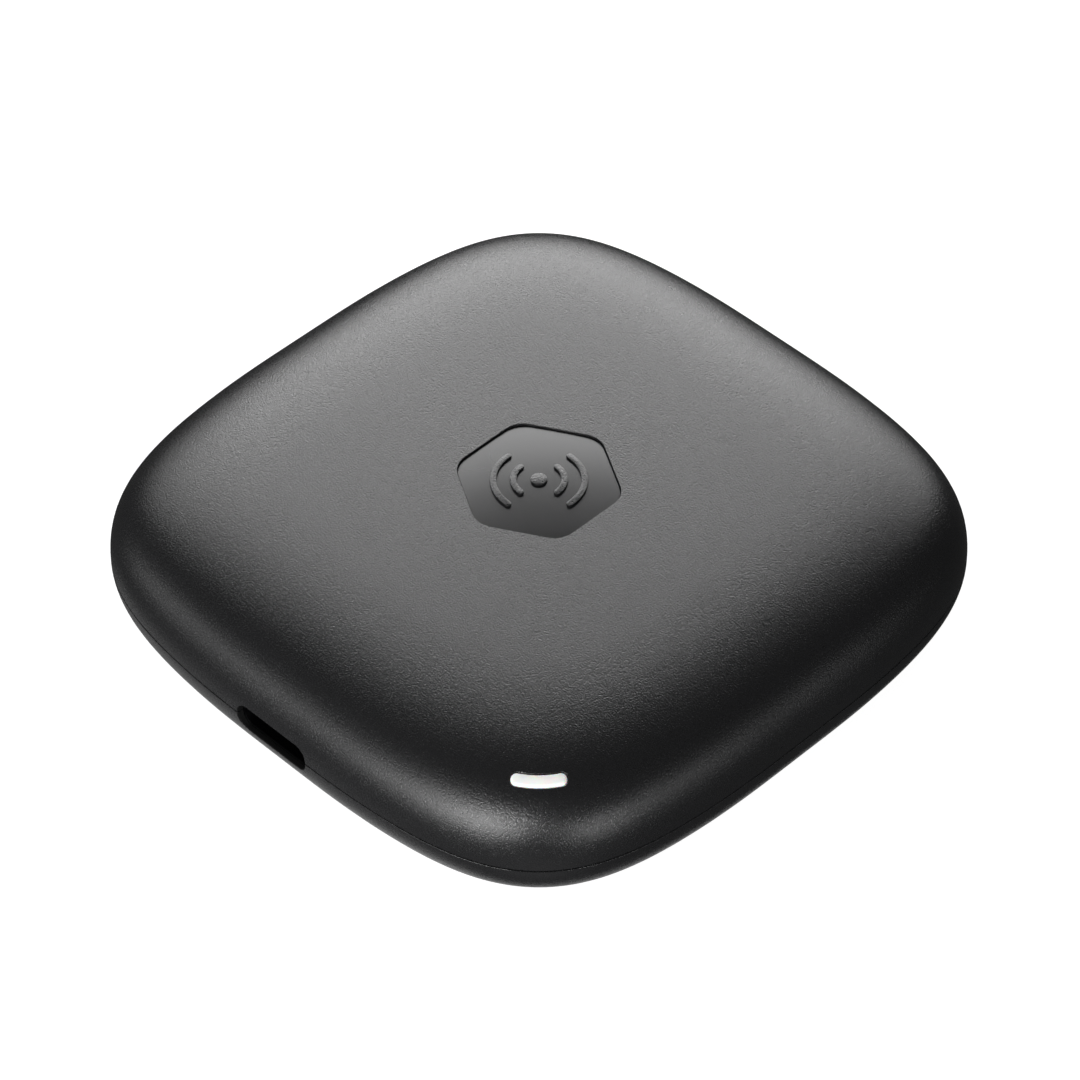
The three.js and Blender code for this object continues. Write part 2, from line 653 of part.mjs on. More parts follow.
// A lead from the cell's board round to the back of the plug. side is -1 or 1.
function batteryLead(side) {
  const spread = side * 1.1;
  const plugBack = plugX - PLUG_SIZE.x / 2 - CONTACT_GAP;
  const plugHeight = plugBottom + PLUG_SIZE.z / 2;
  const start = new THREE.Vector3(plugBack - 7 - 2 * spread, batteryBack + CONTACT_GAP, leadHeight);
  const end = new THREE.Vector3(plugBack, socketY + spread, plugHeight);
  const route = new THREE.CatmullRomCurve3([
    start,
    start.clone().add(new THREE.Vector3(0, 1, 0)),
    new THREE.Vector3((start.x * 2 + end.x) / 3, end.y - 0.6, (leadHeight + plugHeight) / 2),
    end.clone().add(new THREE.Vector3(-2, 0, 0)),
    end,
  ]);
  const section = new THREE.Shape().absarc(0, 0, LEAD_RADIUS, 0, 2 * Math.PI, false);
  return solid(new THREE.ExtrudeGeometry(section, { steps: 12, curveSegments: 4, extrudePath: route }));
}

// ---------------------------------------------------------------- assembly

const finishes = {
  casing: { color: 0x2b2b2c, roughness: 0.55, metalness: 0 },
  button: { color: 0x2a2a2b, roughness: 0.35, metalness: 0 },
  lens: { color: 0xf4f4f4, roughness: 0.3, metalness: 0 },
  rubber: { color: 0x1b1b1c, roughness: 0.9, metalness: 0 },
  steel: { color: 0xb9bcc0, roughness: 0.3, metalness: 1 },
  moulding: { color: 0x151515, roughness: 0.5, metalness: 0 },
  board: { color: 0x123d26, roughness: 0.4, metalness: 0 },
  chip: { color: 0x18181a, roughness: 0.6, metalness: 0 },
  ceramic: { color: 0xe8e2d2, roughness: 0.6, metalness: 0 },
  brass: { color: 0xc9a13f, roughness: 0.35, metalness: 1 },
  cell: { color: 0xc7c9cc, roughness: 0.35, metalness: 0.6 },
  redWire: { color: 0xb3221c, roughness: 0.5, metalness: 0 },
  blackWire: { color: 0x141414, roughness: 0.5, metalness: 0 },
};

const materials = Object.fromEntries(
  Object.entries(finishes).map(([name, look]) => [name, new THREE.MeshStandardMaterial({ name, ...look })]),
);

// A named mesh of a solid, placed at a point of its group.
function piece(name, made, finish, x = 0, y = 0, z = 0) {
  const mesh = new THREE.Mesh(geometryOf(made), materials[finish]);
  mesh.name = name;
  mesh.position.set(x, y, z);
  return mesh;
}

function casing() {
  const screws = fourCorners((sx, sy) => {
    const name = `screw_${sy < 0 ? "front" : "back"}_${sx < 0 ? "left" : "right"}`;
    return piece(name, casingScrew(), "steel", sx * screwOffset, sy * screwOffset, SCREW_SINK);
  });
  return new THREE.Group().add(
    piece("top_shell", topShell(), "casing"),
    piece("bottom_cover", bottomCover(), "casing"),
    piece("perimeter_seal", perimeterSeal(), "rubber"),
    ...screws,
  );
}

function button() {
  return new THREE.Group().add(
    piece("button_cap", buttonCap(), "button"),
    piece("button_seal", buttonSeal(), "rubber"),
  );
}

function light() {
  const pipe = piece("light_pipe", lightPipe(), "lens");
  return new THREE.Group().add(pipe, piece("status_led", statusLed(), "ceramic"));
}

function momentarySwitch() {
  const terminalY = SWITCH_SIDE / 2 - TERMINAL_WIDTH;
  const group = new THREE.Group().add(
    piece("switch_base", switchBase(), "moulding"),
    piece("switch_cover", switchCover(), "steel"),
    piece("switch_plunger", switchPlunger(), "moulding"),
    piece("switch_dome", switchDome(), "steel"),
    piece("switch_terminal_front", switchTerminal(), "steel", 0, -terminalY),
    piece("switch_terminal_back", switchTerminal(), "steel", 0, terminalY),
  );
  group.position.z = partsBase;
  return group;
}

// Chips and other small blocks on the board: name, finish, size, and place from the board's middle.
function boardParts() {
  const canSize = { x: 12, y: 14, z: 1.8 };
  const canX = -(flangeAcross / 2 + LOOSE_GAP + canSize.x / 2);
  const radioSize = { x: 6, y: 6, z: 0.85 };
  const front = -(boardHalf - 6);
  const blocks = [
    ["charger_chip", "chip", { x: 3, y: 3, z: 0.8 }, 5, front],
    ["power_inductor", "chip", { x: 4, y: 4, z: 1.6 }, -5, front],
    ["clock_crystal", "steel", { x: 3.2, y: 2.5, z: 0.7 }, canX, canSize.y / 2 + 2.5],
    ["motion_sensor", "chip", { x: 2.5, y: 3, z: 0.9 }, 0, flangeAcross / 2 + 4],
    ["chip_antenna", "ceramic", { x: 2, y: 7, z: 0.8 }, -(boardHalf - 3.5), 0],
  ];
  const group = new THREE.Group().add(
    piece("shield_can", shieldCan(canSize, 0.2), "steel", canX, 0, 0),
    piece("radio_chip", block(radioSize, 0, 0, 0), "chip", canX, 0, 0),
    ...blocks.map(([name, finish, size, x, y]) => piece(name, block(size, 0, 0, 0), finish, x, y, 0)),
  );
  group.position.z = partsBase;
  return group;
}

function port() {
  const shell = piece("usb_shell", usbShell(), "steel");
  return new THREE.Group().add(shell, piece("usb_tongue", usbTongue(), "moulding"));
}

function sounder() {
  const plateBottom = sounderSeat - CONTACT_GAP - PIEZO_PLATE;
  const rimX = sounderX + sounderRadius - LOOSE_GAP;
  return new THREE.Group().add(
    piece("piezo_plate", piezoPlate(), "brass"),
    piece("piezo_ceramic", piezoCeramic(), "ceramic"),
    piece("piezo_spring_middle", springContact(sounderX, ceramicBottom - CONTACT_GAP), "brass"),
    piece("piezo_spring_rim", springContact(rimX, plateBottom - CONTACT_GAP), "brass"),
  );
}

function battery() {
  return new THREE.Group().add(
    piece("battery_cell", batteryCell(), "cell"),
    piece("battery_board", batteryBoard(), "board"),
    piece("battery_pad", batteryPad(), "rubber"),
    piece("battery_socket", batterySocket(), "ceramic"),
    piece("battery_plug", batteryPlug(), "ceramic"),
    piece("battery_lead_positive", batteryLead(1), "redWire"),
    piece("battery_lead_negative", batteryLead(-1), "blackWire"),
  );
}

const tag = new THREE.Group().add(
  casing(),
  button(),
  light(),
  piece("circuit_board", circuitBoard(), "board"),
  momentarySwitch(),
  boardParts(),
  port(),
  sounder(),
  battery(),
);

export default tag;
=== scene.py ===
"""Looks for a rechargeable tracker tag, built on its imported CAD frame.

The casing, the button, the light window, the port and the screws are rebuilt here as fine meshes
with rounded rims, from the same sizes as the CAD. The pieces inside keep their CAD shape and get
soft edges and proper finishes. Every size is in millimetres until a mesh is handed over, in metres.
"""

import logging
import math
from collections.abc import Callable, Sequence
from dataclasses import dataclass, field, replace
from enum import Enum

import bpy
import numpy as np
from bpy.types import Node, NodeSocket, NodeTree
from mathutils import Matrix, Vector


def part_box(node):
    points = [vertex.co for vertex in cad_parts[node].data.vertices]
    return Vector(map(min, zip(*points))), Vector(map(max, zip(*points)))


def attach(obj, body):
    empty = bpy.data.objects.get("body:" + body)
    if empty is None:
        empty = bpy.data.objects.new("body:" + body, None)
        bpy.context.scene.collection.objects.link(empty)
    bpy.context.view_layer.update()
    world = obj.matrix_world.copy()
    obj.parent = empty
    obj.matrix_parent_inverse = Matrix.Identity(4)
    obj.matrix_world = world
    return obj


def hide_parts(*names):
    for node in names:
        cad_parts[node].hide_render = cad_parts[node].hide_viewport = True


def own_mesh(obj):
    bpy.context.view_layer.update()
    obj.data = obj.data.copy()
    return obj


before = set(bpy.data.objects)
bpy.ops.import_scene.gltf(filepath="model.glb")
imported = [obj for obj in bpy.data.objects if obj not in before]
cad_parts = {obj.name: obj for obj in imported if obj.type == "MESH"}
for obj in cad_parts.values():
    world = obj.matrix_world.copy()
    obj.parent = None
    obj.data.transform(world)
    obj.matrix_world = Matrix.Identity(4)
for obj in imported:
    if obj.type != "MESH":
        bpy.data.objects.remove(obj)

LOG = logging.getLogger("tracker_tag")
MM = 0.001
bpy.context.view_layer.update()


class Body(Enum):
    """The moving bodies that a piece can ride on."""

    CASING = "casing"
    BUTTON = "button"
    PLUNGER = "plunger"


class Cut(Enum):
    """How one solid changes another."""

    ADD = "UNION"
    REMOVE = "DIFFERENCE"


# ---------------------------------------------------------------------------- node materials


def linear(colour: str, alpha: float = 1.0) -> tuple[float, float, float, float]:
    """Turns an sRGB colour into the linear one that shaders take.

    Args:
        colour: Six hex digits, such as "2b2b2c".
        alpha: Opacity.

    Returns:
        Red, green, blue and alpha.
    """
    parts = [int(colour[i : i + 2], 16) / 255 for i in (0, 2, 4)]
    rgb = [p / 12.92 if p <= 0.04045 else ((p + 0.055) / 1.055) ** 2.4 for p in parts]
    return (*rgb, alpha)


def add_node(
    tree: NodeTree,
    kind: str,
    values: dict[str | int, object] | None = None,
    links: dict[str | int, NodeSocket] | None = None,
    **settings: object,
) -> Node:
    """Adds one node to a tree.

    Args:
        tree: The material's node tree.
        kind: The node's type name.
        values: What unlinked inputs hold.
        links: The socket that feeds each linked input.
        **settings: The node's own properties.

    Returns:
        The new node.
    """
    node = tree.nodes.new(kind)
    for key, value in settings.items():
        setattr(node, key, value)
    for key, value in (values or {}).items():
        node.inputs[key].default_value = value
    for key, source in (links or {}).items():
        tree.links.new(source, node.inputs[key])
    return node


@dataclass(frozen=True)
class Finish:
    """A surface as it is made: its colour, how smooth it is, and the fine relief on it.

    The relief is a fine noise in the surface's own millimetres. Sizes are the width of one grain.
    """

    name: str
    colour: str
    roughness: float
    metallic: float = 0.0
    ior: float = 1.5
    grain: float = 0.3
    relief: float = 0.0
    blotch: float = 6.0
    unevenness: float = 0.04
    shade: float = 0.12
    specular: float = 0.5

    def make(self) -> bpy.types.Material:
        """Makes the material, or returns the one already made.

        Returns:
            The material.
        """
        made = bpy.data.materials.get(self.name)
        if made:
            return made
        made = bpy.data.materials.new(self.name)
        made.use_nodes = True
        tree = made.node_tree
        tree.nodes.clear()
        place = add_node(tree, "ShaderNodeTexCoord").outputs["Object"]
        shader = add_node(tree, "ShaderNodeBsdfPrincipled", {"Metallic": self.metallic})
        if not self.metallic:
            shader.inputs["IOR"].default_value = self.ior
            shader.inputs["Specular IOR Level"].default_value = self.specular
        self.dress(tree, place, shader)
        add_node(tree, "ShaderNodeOutputMaterial", links={"Surface": shader.outputs["BSDF"]})
        return made

    def dress(self, tree: NodeTree, place: NodeSocket, shader: Node) -> None:
        """Feeds the shader's colour, roughness and relief.

        Args:
            tree: The material's node tree.
            place: The surface point, in metres.
            shader: The principled shader.
        """
        values = {"Scale": 1 / (self.blotch * MM), "Detail": 3.0}
        blotches = add_node(tree, "ShaderNodeTexNoise", values, {"Vector": place}).outputs["Fac"]
        self.link_range(tree, blotches, self.roughness, self.unevenness, shader.inputs["Roughness"])
        self.link_shade(tree, blotches, shader.inputs["Base Color"])
        self.link_relief(tree, self.grains(tree, place), self.relief, shader.inputs["Normal"])

    def grains(self, tree: NodeTree, place: NodeSocket) -> NodeSocket:
        """Gives the fine noise of the surface, one cell to a grain."""
        values = {"Scale": 1 / (self.grain * MM), "Detail": 2.0}
        return add_node(tree, "ShaderNodeTexNoise", values, {"Vector": place}).outputs["Fac"]

    def link_range(
        self,
        tree: NodeTree,
        noise: NodeSocket,
        middle: float,
        spread: float,
        target: NodeSocket,
    ) -> None:
        """Drives an input by a noise, between middle - spread and middle + spread.

        Args:
            tree: The material's node tree.
            noise: A noise from 0 to 1.
            middle: The middle of the range.
            spread: How far it goes to each side.
            target: The input to feed.
        """
        mapped = add_node(
            tree,
            "ShaderNodeMapRange",
            {"From Min": 0.3, "From Max": 0.7, "To Min": middle - spread, "To Max": middle + spread},
            {"Value": noise},
        )
        tree.links.new(mapped.outputs["Result"], target)

    def link_shade(
        self, tree: NodeTree, noise: NodeSocket, target: NodeSocket
    ) -> None:
        """Drives a colour input by a noise, a little darker and lighter than the finish's colour.

        Args:
            tree: The material's node tree.
            noise: A noise from 0 to 1.
            target: The input to feed.
        """
        base = linear(self.colour)
        ramp = add_node(tree, "ShaderNodeValToRGB", links={"Fac": noise})
        for element, factor in zip(ramp.color_ramp.elements, (1 - self.shade, 1 + self.shade), strict=True):
            element.color = (*(min(1.0, c * factor) for c in base[:3]), 1)
        ramp.color_ramp.elements[0].position, ramp.color_ramp.elements[1].position = 0.35, 0.65
        tree.links.new(ramp.outputs["Color"], target)

    def link_relief(
        self,
        tree: NodeTree,
        height: NodeSocket,
        depth: float,
        target: NodeSocket,
        under: NodeSocket | None = None,
    ) -> NodeSocket | None:
        """Adds a bump of a depth in millimetres, over another bump if one is given.

        Args:
            tree: The material's node tree.
            height: The relief, from 0 to 1.
            depth: Its depth, in millimetres.
            target: The input to feed.
            under: The direction given by a bump under it.

        Returns:
            The direction with this bump, if it has a depth.
        """
        if not depth:
            return None
        links = {"Height": height} | ({"Normal": under} if under else {})
        bump = add_node(tree, "ShaderNodeBump", {"Strength": 1.0, "Distance": depth * MM}, links)
        tree.links.new(bump.outputs["Normal"], target)
        return bump.outputs["Normal"]


@dataclass(frozen=True)
class SparkErodedPlastic(Finish):
    """ABS blend moulded in a spark-eroded tool: an even, matt, very fine orange-peel that glints
    grain by grain where a highlight fades out."""

    sparkle: float = 0.03
    wide: float = 2.4
    wide_share: float = 0.08

    def dress(self, tree: NodeTree, place: NodeSocket, shader: Node) -> None:
        """Feeds the shader with two sizes of crater and a roughness that changes from grain to grain.

        Args:
            tree: The material's node tree.
            place: The surface point, in metres.
            shader: The principled shader.
        """
        craters = self.grains(tree, place)
        scale = 1 / (self.wide * self.grain * MM)
        values = {"Scale": scale, "Detail": 1.0}
        wide = add_node(tree, "ShaderNodeTexNoise", values, {"Vector": place}).outputs["Fac"]
        self.link_range(tree, craters, self.roughness, self.sparkle, shader.inputs["Roughness"])
        self.link_shade(tree, wide, shader.inputs["Base Color"])
        under = self.link_relief(tree, wide, self.wide_share * self.relief, shader.inputs["Normal"])
        self.link_relief(tree, craters, self.relief, shader.inputs["Normal"], under)


@dataclass(frozen=True)
class MilkyDiffuser(Finish):
    """Opal polycarbonate: white through and through, with an even painted glow; the window gives out light of
    its own, not light from the lamp.
    """

    glow: float = 0.08
    scatter: float = 0.4
    scatter_depth: float = 0.5

    def dress(self, tree: NodeTree, place: NodeSocket, shader: Node) -> None:
        """Adds scattering under the surface and an even painted glow to the plain finish.

        Args:
            tree: The material's node tree.
            place: The surface point, in metres.
            shader: The principled shader.
        """
        super().dress(tree, place, shader)
        shader.inputs["Subsurface Weight"].default_value = self.scatter
        shader.inputs["Subsurface Scale"].default_value = self.scatter_depth * MM
        shader.inputs["Emission Color"].default_value = linear(self.colour)
        # Painted glow: the window gives out light of its own.
        shader.inputs["Emission Strength"].default_value = self.glow


@dataclass(frozen=True)
class LightTable(Finish):
    """White acrylic lit evenly from underneath."""

    glow: float = 0.9
    shade: float = 0.0
    blotch: float = 200.0

    def dress(self, tree: NodeTree, place: NodeSocket, shader: Node) -> None:
        """Adds the glow to the plain finish.

        Args:
            tree: The material's node tree.
            place: The surface point, in metres.
            shader: The principled shader.
        """
        super().dress(tree, place, shader)
        shader.inputs["Emission Color"].default_value = linear("ffffff")
        shader.inputs["Emission Strength"].default_value = self.glow


@dataclass(frozen=True)
class RolledSheet(Finish):
    """Sheet metal with the fine straight lines of the rolling mill along X."""

    stretch: float = 12.0

    def grains(self, tree: NodeTree, place: NodeSocket) -> NodeSocket:
        """Gives noise drawn out along the rolling direction."""
        drawn = add_node(tree, "ShaderNodeMapping", {"Scale": (1 / self.stretch, 1, 1)}, {"Vector": place})
        return super().grains(tree, drawn.outputs["Vector"])


@dataclass(frozen=True)
class SolderMask(Finish):
    """Green lacquer over etched copper: glossy, with tracks standing up faintly lighter under it."""

    track: float = 0.9
    track_length: float = 2.79
    track_gap: float = 0.09
    lacquer_step: float = 0.02
    copper: str = "1f6b3c"

    def dress(self, tree: NodeTree, place: NodeSocket, shader: Node) -> None:
        """Draws square-cornered tracks between offset cells, and raises the lacquer over them.

        Args:
            tree: The material's node tree.
            place: The surface point, in metres.
            shader: The principled shader.
        """
        super().dress(tree, place, shader)
        cells = add_node(
            tree,
            "ShaderNodeTexBrick",
            {
                "Color1": linear("000000"),
                "Color2": linear("898989"),
                "Mortar": linear("ffffff"),
                "Scale": 1 / MM,
                "Mortar Size": self.track_gap,
                "Brick Width": self.track_length,
                "Row Height": self.track,
            },
            {"Vector": place},
        ).outputs["Color"]
        tint = add_node(tree, "ShaderNodeMix", links={"Factor": cells}, data_type="RGBA")
        for key, colour in (("A", self.colour), ("B", self.copper)):
            socket = next(i for i in tint.inputs if i.name == key and i.type == "RGBA")
            socket.default_value = linear(colour)
        tinted = next(o for o in tint.outputs if o.type == "RGBA")
        tree.links.new(tinted, shader.inputs["Base Color"])
        self.link_relief(tree, cells, self.lacquer_step, shader.inputs["Normal"])


@dataclass(frozen=True)
class PouchFoil(Finish):
    """Aluminium laminate drawn over a cell: silvery, soft, with shallow creases."""

    crease: float = 5.0

    def grains(self, tree: NodeTree, place: NodeSocket) -> NodeSocket:
        """Gives the folds of a cell pattern, which read as creases.

        Args:
            tree: The material's node tree.
            place: The surface point, in metres.

        Returns:
            The creases, from 0 to 1.
        """
        values = {"Scale": 1 / (self.crease * MM)}
        folds = add_node(tree, "ShaderNodeTexVoronoi", values, {"Vector": place}, feature="SMOOTH_F1")
        return folds.outputs["Distance"]


# ABS blend, moulded in a spark-eroded tool: dark grey, matt, with a fine speckle in every highlight.
# Real craters are nearer 0.05 mm; they are drawn coarser so that they show.
SHELL = SparkErodedPlastic("spark_eroded_abs", "1c1c1d", 0.285, grain=0.14, relief=0.044, shade=0.05)
# The same ABS from a polished insert: satin, so the key reads as one smooth sweep of tone.
KEY = Finish(
    "satin_moulded_abs", "1c1c1d", 0.27, grain=0.12, relief=0.0012, blotch=9, unevenness=0.015, shade=0.03
)
# Opal polycarbonate, moulded: white and a little translucent, with soft ends. It glows evenly of itself:
# painted light, not light from the lamp.
LENS = MilkyDiffuser("opal_polycarbonate_painted_glow", "f4f4f3", 0.28, grain=0.4, relief=0.001, shade=0.01)
# Painted shade in the port's slot: a darker, duller black than the shell on the slot's walls, so the slot
# reads as a black hole.
THROAT = Finish("painted_shade_slot_black", "101010", 0.85, ior=1.45, specular=0.15, grain=0.2, relief=0.004)
# Deep-drawn steel, black nickel plated: a dark line of sheen at the mouth.
PORT_METAL = RolledSheet("black_nickel_plated_steel", "0d0d0e", 0.6, metallic=1, grain=0.08, relief=0.002)
# Glass-filled nylon, moulded: dull black, faintly rough.
PORT_RESIN = Finish("glass_filled_nylon", "0d0d0e", 0.55, grain=0.1, relief=0.003)
# Copper strip, gold flashed: small warm glints on the tongue.
GOLD = Finish("gold_flashed_copper", "d9a94a", 0.25, metallic=1, grain=0.1, relief=0.001)
# Cold-headed steel, black oxide: dark, with a soft gleam on the head.
SCREW_STEEL = Finish("black_oxide_steel", "3d3e40", 0.36, metallic=1, grain=0.15, relief=0.003)
# Silicone, moulded: very matt black.
SEAL = Finish("moulded_silicone", "1a1a1b", 0.62, ior=1.41, grain=0.2, relief=0.003)
# Rolled and tinned sheet: pale, with fine straight lines along the roll.
SHEET_STEEL = RolledSheet("tinned_sheet_steel", "c9cac8", 0.3, metallic=1, grain=0.12, relief=0.003)
# Stainless strip, rolled and stamped: bright, with finer lines.
SPRING_STEEL = RolledSheet("stainless_spring_sheet", "c3c4c6", 0.22, metallic=1, grain=0.06, relief=0.002)
# Filled epoxy, moulded: matt charcoal with a dusty grain.
EPOXY = Finish("moulded_epoxy", "1d1d1f", 0.58, grain=0.09, relief=0.004)
# Pressed and fired powder: dark, dry and granular.
FERRITE = Finish("pressed_ferrite_powder", "353536", 0.72, grain=0.14, relief=0.01)
# Lacquer curtain-coated on etched copper: glossy green, tracks a shade lighter.
MASK = SolderMask("green_solder_mask", "0e3b22", 0.3, grain=0.5, relief=0.0)
# Thermoplastic, moulded: plain black with a low sheen.
RESIN = Finish("moulded_thermoplastic", "161617", 0.5, grain=0.12, relief=0.004)
# Alumina, pressed and fired: off-white, fine, slightly glossy.
CERAMIC = Finish("fired_alumina", "e6e1d5", 0.5, ior=1.7, grain=0.08, relief=0.003)
# Silver paste fired on ceramic: whitish metal with a chalky bloom.
SILVERED = Finish("silver_fired_on_ceramic", "d8d6cf", 0.38, metallic=1, grain=0.12, relief=0.004)
# Brass sheet, rolled: yellow, with straight rolling lines.
BRASS = RolledSheet("rolled_brass_sheet", "c8a14e", 0.28, metallic=1, grain=0.12, relief=0.003)
# Bronze strip, stamped and gold plated: warm and bright.
GOLD_SPRING = RolledSheet("gold_plated_spring_bronze", "d8b365", 0.24, metallic=1, grain=0.06, relief=0.002)
# Aluminium laminate, cold-drawn over the cell: silvery, with shallow creases.
FOIL = PouchFoil("aluminium_laminate_pouch", "c6c8ca", 0.36, metallic=0.85, relief=0.05, blotch=12)
# Polyimide film, wound on: glossy amber, rippled over what it wraps.
TAPE = Finish("polyimide_tape", "b8701c", 0.24, ior=1.7, grain=1.4, relief=0.03, shade=0.25)
# Foamed acrylic, cut from sheet: off-white and open-looking.
FOAM = Finish("closed_cell_foam", "e2e2de", 0.85, grain=0.35, relief=0.04)
# Nylon, moulded: cream, slightly waxy.
NYLON = Finish("moulded_nylon", "e6e2d3", 0.42, grain=0.15, relief=0.004)
# PVC, extruded on wire: red, with a soft shine.
RED_PVC = Finish("red_wire_insulation", "b21d17", 0.4, grain=0.3, relief=0.004)
# PVC, extruded on wire: black, with a soft shine.
BLACK_PVC = Finish("black_wire_insulation", "171717", 0.4, grain=0.3, relief=0.004)
# White resin, transfer moulded round a chip: clean and smooth.
LAMP_CASE = Finish("white_lamp_package", "efede4", 0.4, grain=0.1, relief=0.002)


# ---------------------------------------------------------------------------- outlines and solids


class Outline:
    """A closed flat curve that can be grown or shrunk evenly."""

    def points(self, grow: float = 0.0) -> np.ndarray:
        """Gives the curve's points, always the same number, anticlockwise.

        Args:
            grow: How far to move the curve outwards.

        Returns:
            Points, one row each.
        """
        raise NotImplementedError


@dataclass(frozen=True)
class Round(Outline):
    """A circle, at a place."""

    radius: float
    x: float = 0.0
    y: float = 0.0
    steps: int = 64

    def points(self, grow: float = 0.0) -> np.ndarray:
        """Gives points round the circle.

        Args:
            grow: How far to move the curve outwards.

        Returns:
            Points, one row each.
        """
        angle = np.arange(self.steps) * 2 * math.pi / self.steps
        reach = self.radius + grow
        return np.column_stack([self.x + reach * np.cos(angle), self.y + reach * np.sin(angle)])


@dataclass(frozen=True)
class RoundedPolygon(Outline):
    """A convex polygon whose corners are arcs of one radius."""

    corners: tuple[tuple[float, float], ...]
    radius: float
    arc_steps: int = 12
    side_steps: int = 10

    def points(self, grow: float = 0.0) -> np.ndarray:
        """Gives points along each corner's arc and each straight side.

        Args:
            grow: How far to move the curve outwards.

        Returns:
            Points, one row each.
        """
        corners = np.array(self.corners)
        arcs = []
        neighbours = np.roll(corners, 1, 0), np.roll(corners, -1, 0)
        for before, corner, after in zip(neighbours[0], corners, neighbours[1], strict=True):
            inward, onward = ((p - corner) / np.linalg.norm(p - corner) for p in (before, after))
            half = math.acos(float(inward @ onward)) / 2
            along = (inward + onward) / np.linalg.norm(inward + onward)
            centre = corner + along * self.radius / math.sin(half)
            turn = math.pi / 2 - half
            middle = math.atan2(-along[1], -along[0])
            angle = np.linspace(middle - turn, middle + turn, self.arc_steps + 1)
            arcs.append(centre + (self.radius + grow) * np.column_stack([np.cos(angle), np.sin(angle)]))
        share = np.linspace(0, 1, self.side_steps + 1)[1:-1, None]
        parts = []
        for arc, following in zip(arcs, arcs[1:] + arcs[:1], strict=True):
            parts += [arc, arc[-1] + share * (following[0] - arc[-1])]
        return np.concatenate(parts)

    @classmethod
    def rectangle(
        cls, width: float, height: float, radius: float, x: float = 0.0, y: float = 0.0
    ) -> "RoundedPolygon":
        """Gives a rectangle centred on a place.

        Args:
            width: Its size along X.
            height: Its size along Y.
            radius: Its corners' radius.
            x: Its middle's X.
            y: Its middle's Y.

        Returns:
            The rectangle.
        """
        signs = (1, 1), (-1, 1), (-1, -1), (1, -1)
        return cls(tuple((x + i * width / 2, y + j * height / 2) for i, j in signs), radius)

    @classmethod
    def hexagon(cls, across: float, radius: float) -> "RoundedPolygon":
        """Gives a hexagon by its width across flats, with two corners on the Y axis.

        Args:
            across: Its width across flats.
            radius: Its corners' radius.

        Returns:
            The hexagon.
        """
        reach = across / math.sqrt(3)
        angles = [math.pi / 6 + i * math.pi / 3 for i in range(6)]
        return cls(tuple((reach * math.cos(a), reach * math.sin(a)) for a in angles), radius)


@dataclass(frozen=True)
class BentBar(Outline):
    """A bar with round ends, bent round a circle, then turned and moved."""

    length: float
    width: float
    bend: float
    x: float = 0.0
    y: float = 0.0
    turn: float = 0.0
    side_steps: int = 24
    end_steps: int = 12

    def points(self, grow: float = 0.0) -> np.ndarray:
        """Gives points along both sides and both round ends.

        Args:
            grow: How far to move the curve outwards.

        Returns:
            Points, one row each.
        """
        half = (self.length - self.width) / 2 / self.bend
        reach = self.width / 2 + grow
        side = np.linspace(-half, half, self.side_steps + 1)
        outer = (self.bend + reach) * np.column_stack([np.cos(side), np.sin(side)])
        inner = (self.bend - reach) * np.column_stack([np.cos(side[::-1]), np.sin(side[::-1])])
        ends = []
        for at, start in ((half, half), (-half, math.pi - half)):
            angle = np.linspace(start, start + math.pi, self.end_steps + 1)[1:-1]
            centre = self.bend * np.array([math.cos(at), math.sin(at)])
            ends.append(centre + reach * np.column_stack([np.cos(angle), np.sin(angle)]))
        loop = np.concatenate([outer, ends[0], inner, ends[1]]) - np.array([self.bend, 0])
        c, s = math.cos(self.turn), math.sin(self.turn)
        return loop @ np.array([[c, s], [-s, c]]) + np.array([self.x, self.y])


